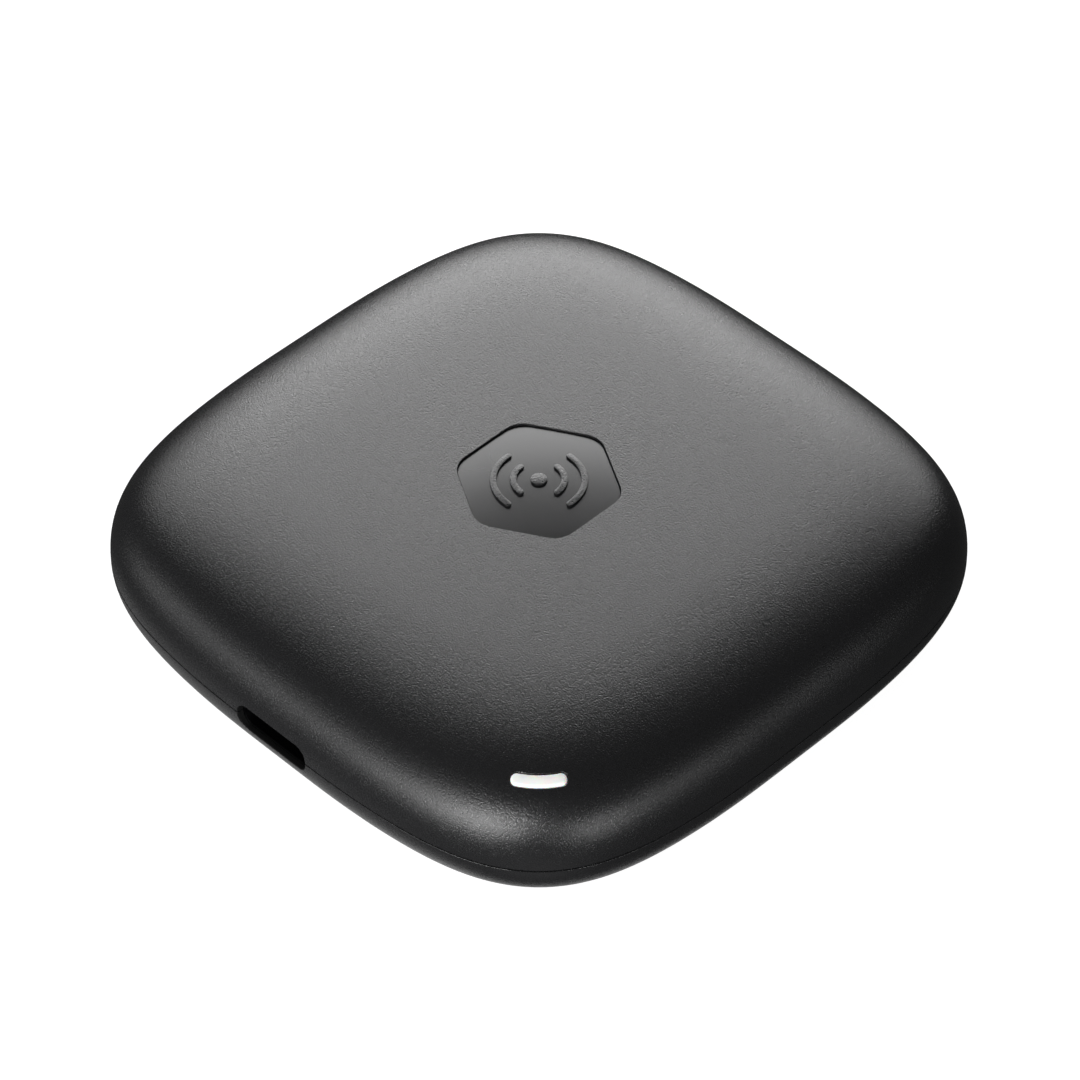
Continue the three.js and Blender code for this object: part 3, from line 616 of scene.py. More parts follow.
@dataclass(frozen=True)
class Cushion(Outline):
    """The casing's form: a rounded square outline, a rolled base and a flat-topped crown."""

    half: float = 33.0
    base: float = 0.0
    parting: float = 5.15
    top: float = 13.75
    roll: float = 4.1
    corner_swell: tuple[float, ...] = (0.0848, -0.0096, 0.0019)
    flatness: float = 8.4
    edge: float = 2.4
    steps: int = 384

    def swell(self, angle: np.ndarray) -> np.ndarray:
        """Gives how far the outline stands out at each angle, against the middle of a side."""
        return 1 + sum(s * (1 - np.cos(4 * (i + 1) * angle)) for i, s in enumerate(self.corner_swell))

    def points(self, grow: float = 0.0) -> np.ndarray:
        """Gives the outline in plan, at the casing's half width."""
        return self.ring(self.half + grow)

    def ring(self, half: float) -> np.ndarray:
        """Gives the outline in plan at a half width of its own."""
        angle = np.arange(self.steps) * 2 * math.pi / self.steps
        return (half * self.swell(angle))[:, None] * np.column_stack([np.cos(angle), np.sin(angle)])

    def share(self, x: np.ndarray, y: np.ndarray) -> np.ndarray:
        """Gives how far out points lie, from 0 in the middle to 1 on the outline."""
        return np.hypot(x, y) / (self.half * self.swell(np.arctan2(y, x)))

    def crown_height(self, share: np.ndarray) -> np.ndarray:
        """Gives the crown's height at each share of the way out."""
        drop = np.clip(1 - np.asarray(share) ** self.flatness, 0, 1) ** (1 / self.edge)
        return self.parting + (self.top - self.parting) * drop

    def crown_over(self, x: np.ndarray, y: np.ndarray) -> np.ndarray:
        """Gives the crown's height over X and Y."""
        return self.crown_height(self.share(x, y))

    def crown_table(self) -> tuple[np.ndarray, np.ndarray]:
        """Gives shares of the way out and the crown's heights there, from its rim to its middle.

        Returns:
            Shares and heights.
        """
        rim = (1 - np.linspace(0, 0.9, 600) ** self.edge) ** (1 / self.flatness)
        share = np.concatenate([rim, np.linspace(rim[-1], 0, 400)[1:]])
        return share, self.crown_height(share)

    def side_half(self, height: np.ndarray) -> np.ndarray:
        """Gives the half width at each height, on the crown or on the base's roll.

        Args:
            height: Heights.

        Returns:
            Half widths, one for each height.
        """
        share, level = self.crown_table()
        down = np.clip((self.parting - height) / (self.parting - self.base), 0, 1)
        return self.half * np.interp(height, level, share) - self.roll * (1 - np.sqrt(1 - down**2))

    def section(self, low: float, high: float, spacing: float = 0.55) -> np.ndarray:
        """Gives the side's section between two heights, evenly spaced along it.

        Args:
            low: The height it starts from.
            high: The height it ends at, which is the crown's top or at most the parting line.
            spacing: The length of one step.

        Returns:
            Half widths and heights, one row each.
        """
        if high > self.parting:
            share, level = self.crown_table()
            height = np.concatenate([[low], level[level > low]])
            half = np.concatenate([[self.side_half(low)], self.half * share[level > low]])
        else:
            height = high + (low - high) * np.cos(np.linspace(0, math.pi / 2, 500))
            half = self.side_half(height)
        along = np.concatenate([[0], np.cumsum(np.hypot(np.diff(half), np.diff(height)))])
        even = np.linspace(0, along[-1], max(4, int(along[-1] / spacing)))
        return np.column_stack([np.interp(even, along, half), np.interp(even, along, height)])

    def rings(self, section: np.ndarray) -> np.ndarray:
        """Gives one closed ring of points for each half width and height of a section."""
        return np.stack([with_height(self.ring(half), height) for half, height in section])

    def front(self, x: np.ndarray, z: np.ndarray) -> np.ndarray:
        """Gives the casing's Y at points of its front side, by a few turns of substitution.

        Args:
            x: The points' X.
            z: The points' heights.

        Returns:
            Their Y.
        """
        side = self.side_half(z)
        y = -side
        for _ in range(8):
            y = -np.sqrt(np.maximum((side * self.swell(np.arctan2(y, x))) ** 2 - x**2, 0))
        return y

    def normals(self, points: np.ndarray) -> tuple[np.ndarray, np.ndarray]:
        """Gives the surface's true outward directions, and how far points are from the surface.

        Args:
            points: Points near the surface.

        Returns:
            Unit directions, and rough distances, one for each point.
        """
        x, y, z = points.T
        angle, reach = np.arctan2(y, x), np.maximum(np.hypot(x, y), 1e-6)
        swell = self.swell(angle)
        turn = sum(4 * (i + 1) * s * np.sin(4 * (i + 1) * angle) for i, s in enumerate(self.corner_swell))
        out = np.stack([x / reach, y / reach]) - turn / swell * np.stack([-y / reach, x / reach])
        out /= swell
        share, rise = reach / swell / self.half, self.top - self.parting
        up = np.clip((z - self.parting) / rise, 0, None)
        crown = share**self.flatness + up**self.edge - 1
        crown_out = self.flatness * share ** (self.flatness - 1) / self.half
        crown_up = self.edge * up ** (self.edge - 1) / rise
        down = np.clip((self.parting - z) / (self.parting - self.base), 0, None)
        beyond = np.clip((reach / swell - self.half + self.roll) / self.roll, 0, None)
        base = beyond**2 + down**2 - 1
        above = z >= self.parting
        outwards = np.where(above, crown_out, 2 * beyond / self.roll)
        upwards = np.where(above, crown_up, -2 * down / (self.parting - self.base))
        direction = np.stack([out[0] * outwards, out[1] * outwards, upwards], axis=1)
        steepness = np.maximum(np.linalg.norm(direction, axis=1), 1e-9)
        return direction / steepness[:, None], np.abs(np.where(above, crown, base)) / steepness


def level_with_table(x: np.ndarray, y: np.ndarray) -> np.ndarray:
    """Gives the table's height over X and Y."""
    return np.zeros_like(x + y)


def upside_down(points: np.ndarray) -> np.ndarray:
    """Turns points half a turn about the X axis."""
    return points * np.array([1, -1, -1])


def with_height(loop: np.ndarray, height: float | np.ndarray) -> np.ndarray:
    """Lifts flat points to a height, or each to its own."""
    return np.column_stack([loop, np.broadcast_to(height, len(loop))])


class Solid:
    """A closed mesh in millimetres, lofted through rings, that others can be added to or cut from."""

    def __init__(self, rings: Sequence[np.ndarray]) -> None:
        """Lofts through closed rings of equal numbers of points, and closes both ends.

        Args:
            rings: Rings of points from one end to the other. Their order runs with the right hand
                towards the last ring.
        """
        stack = np.stack(rings)
        count, steps, _ = stack.shape
        here = np.arange(steps)
        after = np.roll(here, -1)
        faces = [here[::-1].tolist(), (here + (count - 1) * steps).tolist()]
        for level in range(count - 1):
            low, high = level * steps, (level + 1) * steps
            faces += np.column_stack([low + here, low + after, high + after, high + here]).tolist()
        mesh = bpy.data.meshes.new("solid")
        mesh.from_pydata(stack.reshape(-1, 3).tolist(), [], faces)
        self.piece = bpy.data.objects.new("solid", mesh)
        bpy.context.scene.collection.objects.link(self.piece)

    def change(self, how: Cut, *others: "Solid") -> "Solid":
        """Adds or removes other solids, which are used up.

        Args:
            how: Whether to add or remove.
            *others: The solids.

        Returns:
            This solid.
        """
        for other in others:
            carve = self.piece.modifiers.new("carve", "BOOLEAN")
            carve.operation, carve.solver, carve.object = how.value, "MANIFOLD", other.piece
            carved = self.piece.evaluated_get(bpy.context.evaluated_depsgraph_get())
            made = bpy.data.meshes.new_from_object(carved)
            self.piece.modifiers.clear()
            self.piece.data = made
            bpy.data.objects.remove(other.piece)
        return self

    def add(self, *others: "Solid") -> "Solid":
        """Joins other solids to this one."""
        return self.change(Cut.ADD, *others)

    def cut(self, *others: "Solid") -> "Solid":
        """Takes other solids out of this one."""
        return self.change(Cut.REMOVE, *others)

    @classmethod
    def prism(cls, outline: Outline, low: float, high: float, grow: float = 0.0) -> "Solid":
        """Thickens an outline between two heights."""
        loop = outline.points(grow)
        return cls([with_height(loop, low), with_height(loop, high)])

    @classmethod
    def rounded(cls, outline: Outline, low: float, high: float, rim: float, both: bool = True) -> "Solid":
        """Thickens an outline between two heights, with its rims rounded.

        Args:
            outline: The widest outline.
            low: The lower height.
            high: The upper height.
            rim: The rims' radius.
            both: Whether the lower rim is rounded too.

        Returns:
            The solid.
        """
        turns = np.radians([0, 30, 60, 90])
        steps = [(rim * (math.cos(a) - 1), rim * (math.sin(a) - 1)) for a in turns]
        top = [with_height(outline.points(inwards), high + down) for inwards, down in steps]
        if both:
            foot = [with_height(r[:, :2], low + high - r[0, 2]) for r in top[::-1]]
        else:
            foot = [with_height(outline.points(), low)]
        return cls(foot + top)

    @classmethod
    def mouth(
        cls, outline: Outline, low: float, surface: Callable[[np.ndarray, np.ndarray], np.ndarray], rim: float
    ) -> "Solid":
        """Makes the cutter for a hole whose rim is rounded where it meets a surface.

        Args:
            outline: The hole's outline.
            low: The height it reaches down to.
            surface: Gives the surface's height over X and Y.
            rim: The rim's radius.

        Returns:
            The cutter.
        """
        rings = [with_height(outline.points(), low)]
        for turn in np.radians([0, 25, 50, 72]):
            loop = outline.points(rim * (1 - math.cos(turn)))
            rings.append(with_height(loop, surface(*loop.T) - rim * (1 - math.sin(turn))))
        over = 0.06 * rim / (1 - math.sin(math.radians(72)))
        for lift in (over * 0.33, 4.0):
            loop = outline.points(rim * (1 - math.cos(math.radians(72))) + over)
            rings.append(with_height(loop, surface(*loop.T) + lift))
        return cls(rings)

    def turned(self, swap: Callable[[np.ndarray], np.ndarray]) -> "Solid":
        """Moves every point by a function that turns the solid without mirroring it.

        Args:
            swap: Gives the new place of each point.

        Returns:
            This solid.
        """
        mesh = self.piece.data
        points = np.empty(len(mesh.vertices) * 3)
        mesh.vertices.foreach_get("co", points)
        mesh.vertices.foreach_set("co", swap(points.reshape(-1, 3)).ravel())
        mesh.update()
        return self

    def hand_over(
        self,
        name: str,
        body: Body,
        slot: str,
        finishes: Sequence[Finish],
        replaced: Sequence[str],
        form: Cushion | None = None,
        crisp: float = 32.0,
    ) -> bpy.types.Object:
        """Turns the solid into a shown piece of the model, in metres.

        Args:
            name: The piece's name.
            body: The body it moves with.
            slot: Not used.
            finishes: Its finishes, the main one first.
            replaced: The CAD nodes that it stands for.
            form: The casing form whose true directions its outer faces take.
            crisp: Edges sharper than this many degrees stay sharp.

        Returns:
            The piece.
        """
        mesh = self.piece.data
        mesh.materials.clear()
        for finish in finishes:
            mesh.materials.append(finish.make())
        mesh.shade_smooth()
        mesh.set_sharp_from_angle(angle=math.radians(crisp))
        if form:
            self.smooth_over(form)
        self.piece.name = mesh.name = name
        mesh.transform(((MM, 0, 0, 0), (0, MM, 0, 0), (0, 0, MM, 0), (0, 0, 0, 1)))
        mesh.update()
        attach(self.piece, body.value)
        if replaced:
            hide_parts(*replaced)
        LOG.info("%s: %d faces", name, len(mesh.polygons))
        return self.piece

    def smooth_over(self, form: Cushion) -> None:
        """Gives outer faces the form's true directions, so that cuts leave no shading marks.

        Args:
            form: The casing's form.
        """
        mesh = self.piece.data
        count = len(mesh.loops)
        index, shown, flat = np.empty(count, int), np.empty(count * 3), np.empty(len(mesh.polygons) * 3)
        mesh.loops.foreach_get("vertex_index", index)
        mesh.corner_normals.foreach_get("vector", shown)
        mesh.polygons.foreach_get("normal", flat)
        sides = np.empty(len(mesh.polygons), int)
        mesh.polygons.foreach_get("loop_total", sides)
        points = np.empty(len(mesh.vertices) * 3)
        mesh.vertices.foreach_get("co", points)
        true, off = form.normals(points.reshape(-1, 3)[index])
        faced = np.repeat(flat.reshape(-1, 3), sides, axis=0)
        outer = (off < 0.02) & ((true * faced).sum(1) > 0.97)
        mesh.normals_split_custom_set(np.where(outer[:, None], true, shown.reshape(-1, 3)).tolist())


def middle(node: str) -> Vector:
    """Gives the middle of a CAD node's box, in millimetres."""
    low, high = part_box(node)
    return (low + high) / 2 / MM


def corners_of(node: str) -> tuple[Vector, Vector]:
    """Gives a CAD node's lowest and highest corners, in millimetres."""
    low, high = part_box(node)
    return low / MM, high / MM


def keep(node: str, finish: Finish, edge: float = 0.0, smooth: bool = False) -> None:
    """Keeps a CAD node's shape and gives it a finish, and soft edges if asked.

    Args:
        node: The node's name.
        finish: Its finish.
        edge: The radius of its edges, in millimetres.
        smooth: Whether its curved faces are shaded smooth.
    """
    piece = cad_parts[node]
    piece.data.materials.clear()
    piece.data.materials.append(finish.make())
    if edge:
        weld = piece.modifiers.new("weld", "WELD")
        weld.merge_threshold = 1e-7
        bevel = piece.modifiers.new("soft_edge", "BEVEL")
        bevel.width, bevel.segments, bevel.limit_method = edge * MM, 2, "ANGLE"
        bevel.angle_limit = math.radians(35)
        bevel.harden_normals = True
    if smooth:
        piece.data.shade_smooth()
        piece.data.set_sharp_from_angle(angle=math.radians(35))
    LOG.info("%s: kept", node)


# ---------------------------------------------------------------------------- the tag's parts


@dataclass(frozen=True)
class Casing:
    """The two shells, the seal between them and the screws that hold them."""

    form: Cushion = Cushion()
    wall: float = 1.6
    roof: float = 1.5
    floor: float = 1.5
    parting_gap: float = 0.15
    parting_rim: float = 0.05
    lip_clearance: float = 0.1
    contact: float = 0.05
    slot_width: float = 8.6
    slot_height: float = 2.8
    slot_corner: float = 1.2
    slot_rim: float = 0.12
    # How far the painted shade on the slot's walls reaches past the wall's inner face.
    painted_shade_reach: float = 0.6
    post_radius: float = 2.3
    screw_radius: float = 0.8
    head_radius: float = 1.5
    head_height: float = 0.8
    head_rim: float = 0.12
    cross_width: float = 0.42
    cross_length: float = 1.7
    cross_depth: float = 0.45
    bore_clearance: float = 0.1
    bore_depth: float = 2.8
    window_across: float = 13.62
    window_corner: float = 2.4
    window_rim: float = 0.03
    light_clearance: float = 0.08
    light_rim: float = 0.1
    rebate_over_board: float = 0.55
    rib: float = 0.8
    rib_height: float = 1.2
    cell_gap: float = 0.35
    pocket_gap: float = 0.2
    pocket_corner: float = 1.5
    room_step: float = 0.9
    core_half: float = 0.4

    @property
    def hollow(self) -> Cushion:
        """Gives the form of the room inside.

        Returns:
            The form.
        """
        return replace(
            self.form,
            half=self.form.half - self.wall,
            base=self.floor,
            top=self.form.top - self.roof,
            roll=self.form.roll - self.wall / 2,
            steps=128,
        )

    @property
    def board(self) -> tuple[float, float]:
        """Gives the heights of the circuit board's two faces."""
        low, high = corners_of("circuit_board")
        return low.z, high.z

    def posts(self) -> list[tuple[float, float]]:
        """Gives the places of the four screw posts."""
        names = [f"screw_{end}_{side}" for end in ("front", "back") for side in ("left", "right")]
        return [(middle(n).x, middle(n).y) for n in names]

    def room(self) -> Solid:
        """Makes the room inside the shells.

        Returns:
            The room, as a solid to cut with.
        """
        form = self.hollow
        side = form.section(form.base, form.parting, self.room_step)[:-1]
        section = np.concatenate([side, form.section(form.parting, form.top, self.room_step)])
        core = form.ring(self.core_half)
        rings = form.rings(section)[:-1]
        return Solid([with_height(core, form.base), *rings, with_height(core, form.top)])

    def port_cutters(self) -> list[Solid]:
        """Makes the cutters for the port's slot and for the pocket behind it.

        Returns:
            The two cutters.
        """
        slot = RoundedPolygon.rectangle(self.slot_width, self.slot_height, self.slot_corner)
        shell_low, shell_high = corners_of("usb_shell")
        ends = (shell_low.x, shell_high.x), (shell_low.z, shell_high.z)
        mid = self.form.parting

        def outwards(x: np.ndarray, z: np.ndarray) -> np.ndarray:
            """Gives how far the front side stands out, over X and the height above the slot."""
            return -self.form.front(x, z + mid)

        def to_front(points: np.ndarray) -> np.ndarray:
            """Turns upright points to face the front."""
            return np.column_stack([points[:, 0], -points[:, 2], points[:, 1] + mid])

        mouth = Solid.mouth(slot, -shell_low.y - 2, outwards, self.slot_rim)
        width, height = ((high - low) + 2 * self.pocket_gap for low, high in ends)
        pocket = RoundedPolygon.rectangle(width, height, self.pocket_corner)
        back = Solid.prism(pocket, -shell_high.y, -shell_low.y + self.contact)
        return [mouth.turned(to_front), back.turned(to_front)]

    def top_shell(self) -> None:
        """Builds and dresses the upper shell."""
        form, rim = self.form, self.parting_rim
        low = form.parting + self.parting_gap / 2
        half = float(form.side_half(np.array(low + rim)))
        turns = np.radians([0, 30, 60])
        arc = [(half - rim + rim * math.sin(a), low + rim - rim * math.cos(a)) for a in turns]
        section = np.concatenate([arc, form.section(low + rim, form.top)[:-1]])
        rings = form.rings(section)
        skin = Solid([*rings, with_height(form.ring(self.core_half), form.top)])
        board_low, board_high = self.board
        seat = self.sounder_seat()
        rebate = Solid.prism(form, low - 1, board_low + self.rebate_over_board, -self.wall / 2)
        skin.cut(self.room(), rebate)
        roof = form.top - self.roof
        post_low = board_high + self.contact
        skin.add(*[Solid.prism(Round(self.post_radius, x, y), post_low, roof) for x, y in self.posts()])
        skin.add(seat)
        bore, bore_top = self.screw_radius + self.contact, board_high + self.bore_depth
        skin.cut(*[Solid.prism(Round(bore, x, y), board_high - 1, bore_top) for x, y in self.posts()])
        window = RoundedPolygon.hexagon(self.window_across, self.window_corner)
        skin.cut(Solid.mouth(window, board_high, form.crown_over, self.window_rim))
        skin.cut(*self.port_cutters())
        light = LightWindow()
        skin.cut(light.opening(form, self.light_clearance, self.light_rim))
        finishes, node = [SHELL, THROAT], "top_shell"
        self.paint_slot_shade(skin.hand_over("shell_top", Body.CASING, node, finishes, [node], form))

    def paint_slot_shade(self, piece: bpy.types.Object) -> None:
        """Gives the slot's inner walls a darker, duller black: painted shade inside the slot.

        Args:
            piece: The shell.
        """
        for face in piece.data.polygons:
            centre = face.center / MM
            front = float(self.form.front(np.array(centre.x), np.array(centre.z)))
            back = self.wall - self.form.half + self.painted_shade_reach
            across, up = abs(centre.x), abs(centre.z - self.form.parting)
            within = across < self.slot_width / 2 + 0.05 and up < self.slot_height / 2 + 0.05
            if within and front + self.slot_rim * 0.4 < centre.y < back and face.normal.y > -0.8:
                # Painted shade: the slot's walls take the darker, duller black.
                face.material_index = 1

    def sounder_seat(self) -> Solid:
        """Makes the ring under the roof that the sounder's plate is bonded to.

        Returns:
            The ring.
        """
        low, high = corners_of("piezo_plate")
        x, radius = (low.x + high.x) / 2, (high.x - low.x) / 2
        ring = Solid.prism(Round(radius + 1, x), high.z + self.contact, self.form.top - self.roof * 0.7)
        return ring.cut(Solid.prism(Round(radius - 1, x), high.z - 1, self.form.top))

    def bottom_cover(self) -> None:
        """Builds and dresses the lower shell."""
        form, rim = self.form, self.parting_rim
        high = form.parting - self.parting_gap / 2
        half = float(form.side_half(np.array(high - rim)))
        turns = np.radians([30, 60, 90])
        arc = [(half - rim + rim * math.cos(a), high - rim + rim * math.sin(a)) for a in turns]
        section = np.concatenate([form.section(form.base, high - rim, 0.35), arc])
        skin = Solid([with_height(form.ring(self.core_half), form.base), *form.rings(section)])
        board_low, _ = self.board
        fine = replace(form, steps=128)
        lip = form.half - self.wall / 2 - self.lip_clearance
        skin.add(Solid.prism(fine, form.parting - self.wall / 2, board_low, lip - form.half))
        skin.cut(self.room(), Solid.prism(fine, form.parting - 0.01, board_low + 1, -self.wall))
        foot, head_top = self.floor / 2, board_low - self.contact
        skin.add(*[Solid.prism(Round(self.post_radius, x, y), foot, head_top) for x, y in self.posts()])
        skin.add(self.cell_frame())
        sink = corners_of("screw_front_left")[0].z + self.head_height + self.contact
        for x, y in self.posts():
            bore = Round(self.screw_radius + self.bore_clearance, x, y)
            head = Round(self.head_radius + self.bore_clearance, x, -y)
            well = Solid.mouth(head, -sink, level_with_table, self.head_rim).turned(upside_down)
            skin.cut(Solid.prism(bore, -1, board_low + 1), well)
        skin.cut(*self.port_cutters())
        finishes, node = [SHELL, THROAT], "bottom_cover"
        self.paint_slot_shade(skin.hand_over("shell_bottom", Body.CASING, node, finishes, [node], form))

    def cell_frame(self) -> Solid:
        """Makes the low ribs that hold the cell in its place.

        Returns:
            The ribs.
        """
        low, high = corners_of("battery_cell")
        back = corners_of("battery_board")[1].y
        gap = self.cell_gap
        x, y = (low.x + high.x) / 2, (low.y + back) / 2
        width, length = high.x - low.x + 2 * gap, back - low.y + 2 * gap
        outer = RoundedPolygon.rectangle(width + 2 * self.rib, length + 2 * self.rib, 0.4, x, y)
        ribs = Solid.rounded(outer, self.floor / 2, self.floor + self.rib_height, 0.15, both=False)
        return ribs.cut(Solid.prism(RoundedPolygon.rectangle(width, length, 0.2, x, y), 0, self.form.top))

    def screws(self) -> None:
        """Builds the four cross-recessed screws."""
        for end in ("front", "back"):
            for side in ("left", "right"):
                node = f"screw_{end}_{side}"
                low, high = corners_of(node)
                x, y = (low.x + high.x) / 2, (low.y + high.y) / 2
                head_top = low.z + self.head_height
                screw = Solid.rounded(Round(self.head_radius, x, y), low.z, head_top, self.head_rim)
                shank = Solid.prism(Round(self.screw_radius, x, y, 32), low.z + self.head_height / 2, high.z)
                screw.add(shank)
                cross = self.cross_width, self.cross_length
                for width, length in (cross, cross[::-1]):
                    arm = RoundedPolygon.rectangle(width, length, 0.1, x, y)
                    screw.cut(Solid.prism(arm, low.z - 1, low.z + self.cross_depth))
                screw.hand_over(f"{node}_fine", Body.CASING, "screws", [SCREW_STEEL], [node])

    def build(self) -> None:
        """Builds every piece of the casing."""
        self.top_shell()
        self.bottom_cover()
        self.screws()
        keep("perimeter_seal", SEAL, smooth=True)


@dataclass(frozen=True)
class LightWindow:
    """The light pipe in the corner: a bent bar of opal plastic, standing a little proud."""

    length: float = 4.85
    width: float = 1.0
    bend: float = 8.5
    proud: float = 0.1
    rim: float = 0.22
    foot_height: float = 0.6
    foot_length: float = 5.65
    foot_width: float = 1.4
    well_radius: float = 1.75
    lamp_room: float = 0.4

    def outline(self) -> BentBar:
        """Gives the window's outline, at its corner of the casing."""
        at = middle("status_led")
        return BentBar(self.length, self.width, self.bend, at.x, at.y, -math.pi / 4)

    def opening(self, form: Cushion, clearance: float, rim: float) -> Solid:
        """Makes the cutter for the window, and for the well round its foot and the lamp.

        Args:
            form: The casing's form.
            clearance: The gap round the pipe.
            rim: The radius of the window's rim.

        Returns:
            The cutter.
        """
        shape = self.outline()
        grown = replace(shape, length=shape.length + 2 * clearance, width=shape.width + 2 * clearance)
        low, high = corners_of("status_led")
        cutter = Solid.mouth(grown, low.z - 1, form.crown_over, rim)
        well = Round(self.well_radius, shape.x, shape.y)
        return cutter.add(Solid.prism(well, low.z - 1, high.z + self.lamp_room))

    def build(self, form: Cushion) -> None:
        """Builds and dresses the light pipe.

        Args:
            form: The casing's form.
        """
        shape = self.outline()
        bottom = corners_of("light_pipe")[0].z
        rings = [with_height(shape.points(), bottom)]
        for turn in np.radians([0, 22, 45, 68, 90]):
            loop = shape.points(self.rim * (math.cos(turn) - 1))
            height = form.crown_over(*loop.T) + self.proud - self.rim * (1 - math.sin(turn))
            rings.append(with_height(loop, height))
        pipe = Solid(rings)
        foot = replace(shape, length=self.foot_length, width=self.foot_width)
        pipe.add(Solid.prism(foot, bottom, bottom + self.foot_height))
        pipe.hand_over("light_window", Body.CASING, "light_pipe", [LENS], ["light_pipe"], crisp=50)
        keep("status_led", LAMP_CASE, 0.08)


@dataclass(frozen=True)
class Button:
    """The hexagonal key: a satin face, faintly domed, with a raised signal mark."""

    across: float = 13.5
    corner: float = 2.34
    rim: float = 0.03
    dome: float = 0.24
    flange_across: float = 16.22
    flange_corner: float = 3.7
    flange_thickness: float = 0.7
    nib_radius: float = 1.5
    nib_height: float = 0.3
    flange_rim: float = 0.1
    mark_line: float = 0.6
    mark_rise: float = 0.22
    mark_rim: float = 0.05
    dot_radius: float = 0.75
    arc_radii: tuple[float, ...] = (2.3, 4.1)
    arc_spread: float = math.radians(104)
    sink: float = 0.14

    def face(self, x: np.ndarray, y: np.ndarray, top: float) -> np.ndarray:
        """Gives the height of the domed face."""
        reach = self.across / math.sqrt(3)
        return top - self.sink + self.dome * (0.5 - (x**2 + y**2) / reach**2)

    def marks(self) -> list[Outline]:
        """Gives the outlines of the mark: a dot between two pairs of arcs, level with the eye.

        Returns:
            The outlines.
        """
        turn = math.pi / 4
        shapes: list[Outline] = [Round(self.dot_radius)]
        for radius in self.arc_radii:
            for side in (0, math.pi):
                angle = turn + side
                x, y = radius * math.cos(angle), radius * math.sin(angle)
                shapes.append(BentBar(radius * self.arc_spread, self.mark_line, radius, x, y, angle))
        return shapes

    def build(self, form: Cushion) -> None:
        """Builds and dresses the key and its seal.

        Args:
            form: The casing's form.
        """
        low = corners_of("button_cap")[0].z
        flange_low = low + self.nib_height
        plate = RoundedPolygon.hexagon(self.across, self.corner)
        rings = [with_height(plate.points(), flange_low)]
        for turn in np.radians([0, 30, 60, 90]):
            loop = plate.points(self.rim * (math.cos(turn) - 1))
            rings.append(with_height(loop, self.face(*loop.T, form.top) - self.rim * (1 - math.sin(turn))))
        inner = plate.points(-self.rim)
        for scale in (0.992, 0.92, 0.8, 0.65, 0.5, 0.35, 0.2, 0.05):
            rings.append(with_height(inner * scale, self.face(*(inner * scale).T, form.top)))
        cap = Solid(rings)
        flange = RoundedPolygon.hexagon(self.flange_across, self.flange_corner)
        cap.add(Solid.rounded(flange, flange_low, flange_low + self.flange_thickness, self.flange_rim))
        cap.add(Solid.prism(Round(self.nib_radius), low, flange_low + 0.2))
        for shape in self.marks():
            cap.add(self.raised(shape, form.top))
        piece = cap.hand_over("button_key", Body.BUTTON, "button_cap", [KEY, SHELL], ["button_cap"], crisp=28)
        self.texture_mark(piece, form.top)
        keep("button_seal", SEAL, smooth=True)

    def raised(self, shape: Outline, top: float) -> Solid:
        """Makes one raised line of the mark, with a rounded rim.

        Args:
            shape: The line's outline.
            top: The height of the casing's top.

        Returns:
            The raised line.
        """
        rings = [with_height(shape.points(), self.face(*shape.points().T, top) - 0.2)]
        for turn in np.radians([0, 30, 60, 90]):
            loop = shape.points(self.mark_rim * (math.cos(turn) - 1))
            lift = self.mark_rise - self.mark_rim * (1 - math.sin(turn))
            rings.append(with_height(loop, self.face(*loop.T, top) + lift))
        return Solid(rings)

    def texture_mark(self, piece: bpy.types.Object, top: float) -> None:
        """Gives the raised faces of the mark the casing's texture.

        Args:
            piece: The key.
            top: The height of the casing's top.
        """
        for face in piece.data.polygons:
            x, y, z = (c / MM for c in face.center)
            level = float(self.face(np.array(x), np.array(y), top))
            if z > level + 0.5 * self.mark_rise:
                face.material_index = 1


@dataclass(frozen=True)
class ChargePort:
    """The receptacle behind the slot: a drawn shell, and a tongue with its contacts."""

    corner: float = 1.3
    sheet: float = 0.3
    rim: float = 0.09
    tongue_width: float = 6.69
    tongue_thickness: float = 0.7
    contacts: int = 12
    pitch: float = 0.5
    contact_width: float = 0.28
    contact_length: float = 3.4
    contact_proud: float = 0.03
    contact_rim: float = 0.012
    contact_corner: float = 0.06
    contact_setback: float = 0.5

    def build(self) -> None:
        """Builds and dresses the receptacle."""
        low, high = corners_of("usb_shell")
        mid = (low.z + high.z) / 2

        def to_front(points: np.ndarray) -> np.ndarray:
            """Turns upright points to face the front."""
            return np.column_stack([points[:, 0], -points[:, 2], points[:, 1] + mid])

        outer = RoundedPolygon.rectangle(high.x - low.x, high.z - low.z, self.corner)
        shell = Solid.rounded(outer, -high.y, -low.y, self.rim)
        bore = [with_height(outer.points(-self.sheet), -high.y - 1)]
        for turn in np.radians([0, 30, 60, 80]):
            loop = outer.points(-self.sheet + self.rim * (1 - math.cos(turn)))
            bore.append(with_height(loop, -low.y - self.rim * (1 - math.sin(turn))))
        bore.append(with_height(outer.points(-self.sheet + self.rim), -low.y + 1))
        shell.cut(Solid(bore)).turned(to_front)
        shell.hand_over("port_shell", Body.CASING, "usb_shell", [PORT_METAL], ["usb_shell"])
        keep("usb_tongue", PORT_RESIN, 0.04)
        self.build_contacts(mid)

    def build_contacts(self, mid: float) -> None:
        """Builds the rows of contacts on both faces of the tongue.

        Args:
            mid: The height of the tongue's middle.
        """
        front = corners_of("usb_tongue")[0].y + self.contact_setback
        strips = []
        for face in (-1, 1):
            level = mid + face * self.tongue_thickness / 2
            low, high = level - self.contact_proud, level + self.contact_proud
            for i in range(self.contacts):
                x, y = (i - (self.contacts - 1) / 2) * self.pitch, front + self.contact_length / 2
                pad = RoundedPolygon.rectangle(
                    self.contact_width, self.contact_length, self.contact_corner, x, y
                )
                strips.append(Solid.rounded(pad, low, high, self.contact_rim))
        rows = strips[0].add(*strips[1:])
        rows.hand_over("port_contacts", Body.CASING, "usb_tongue", [GOLD], [])


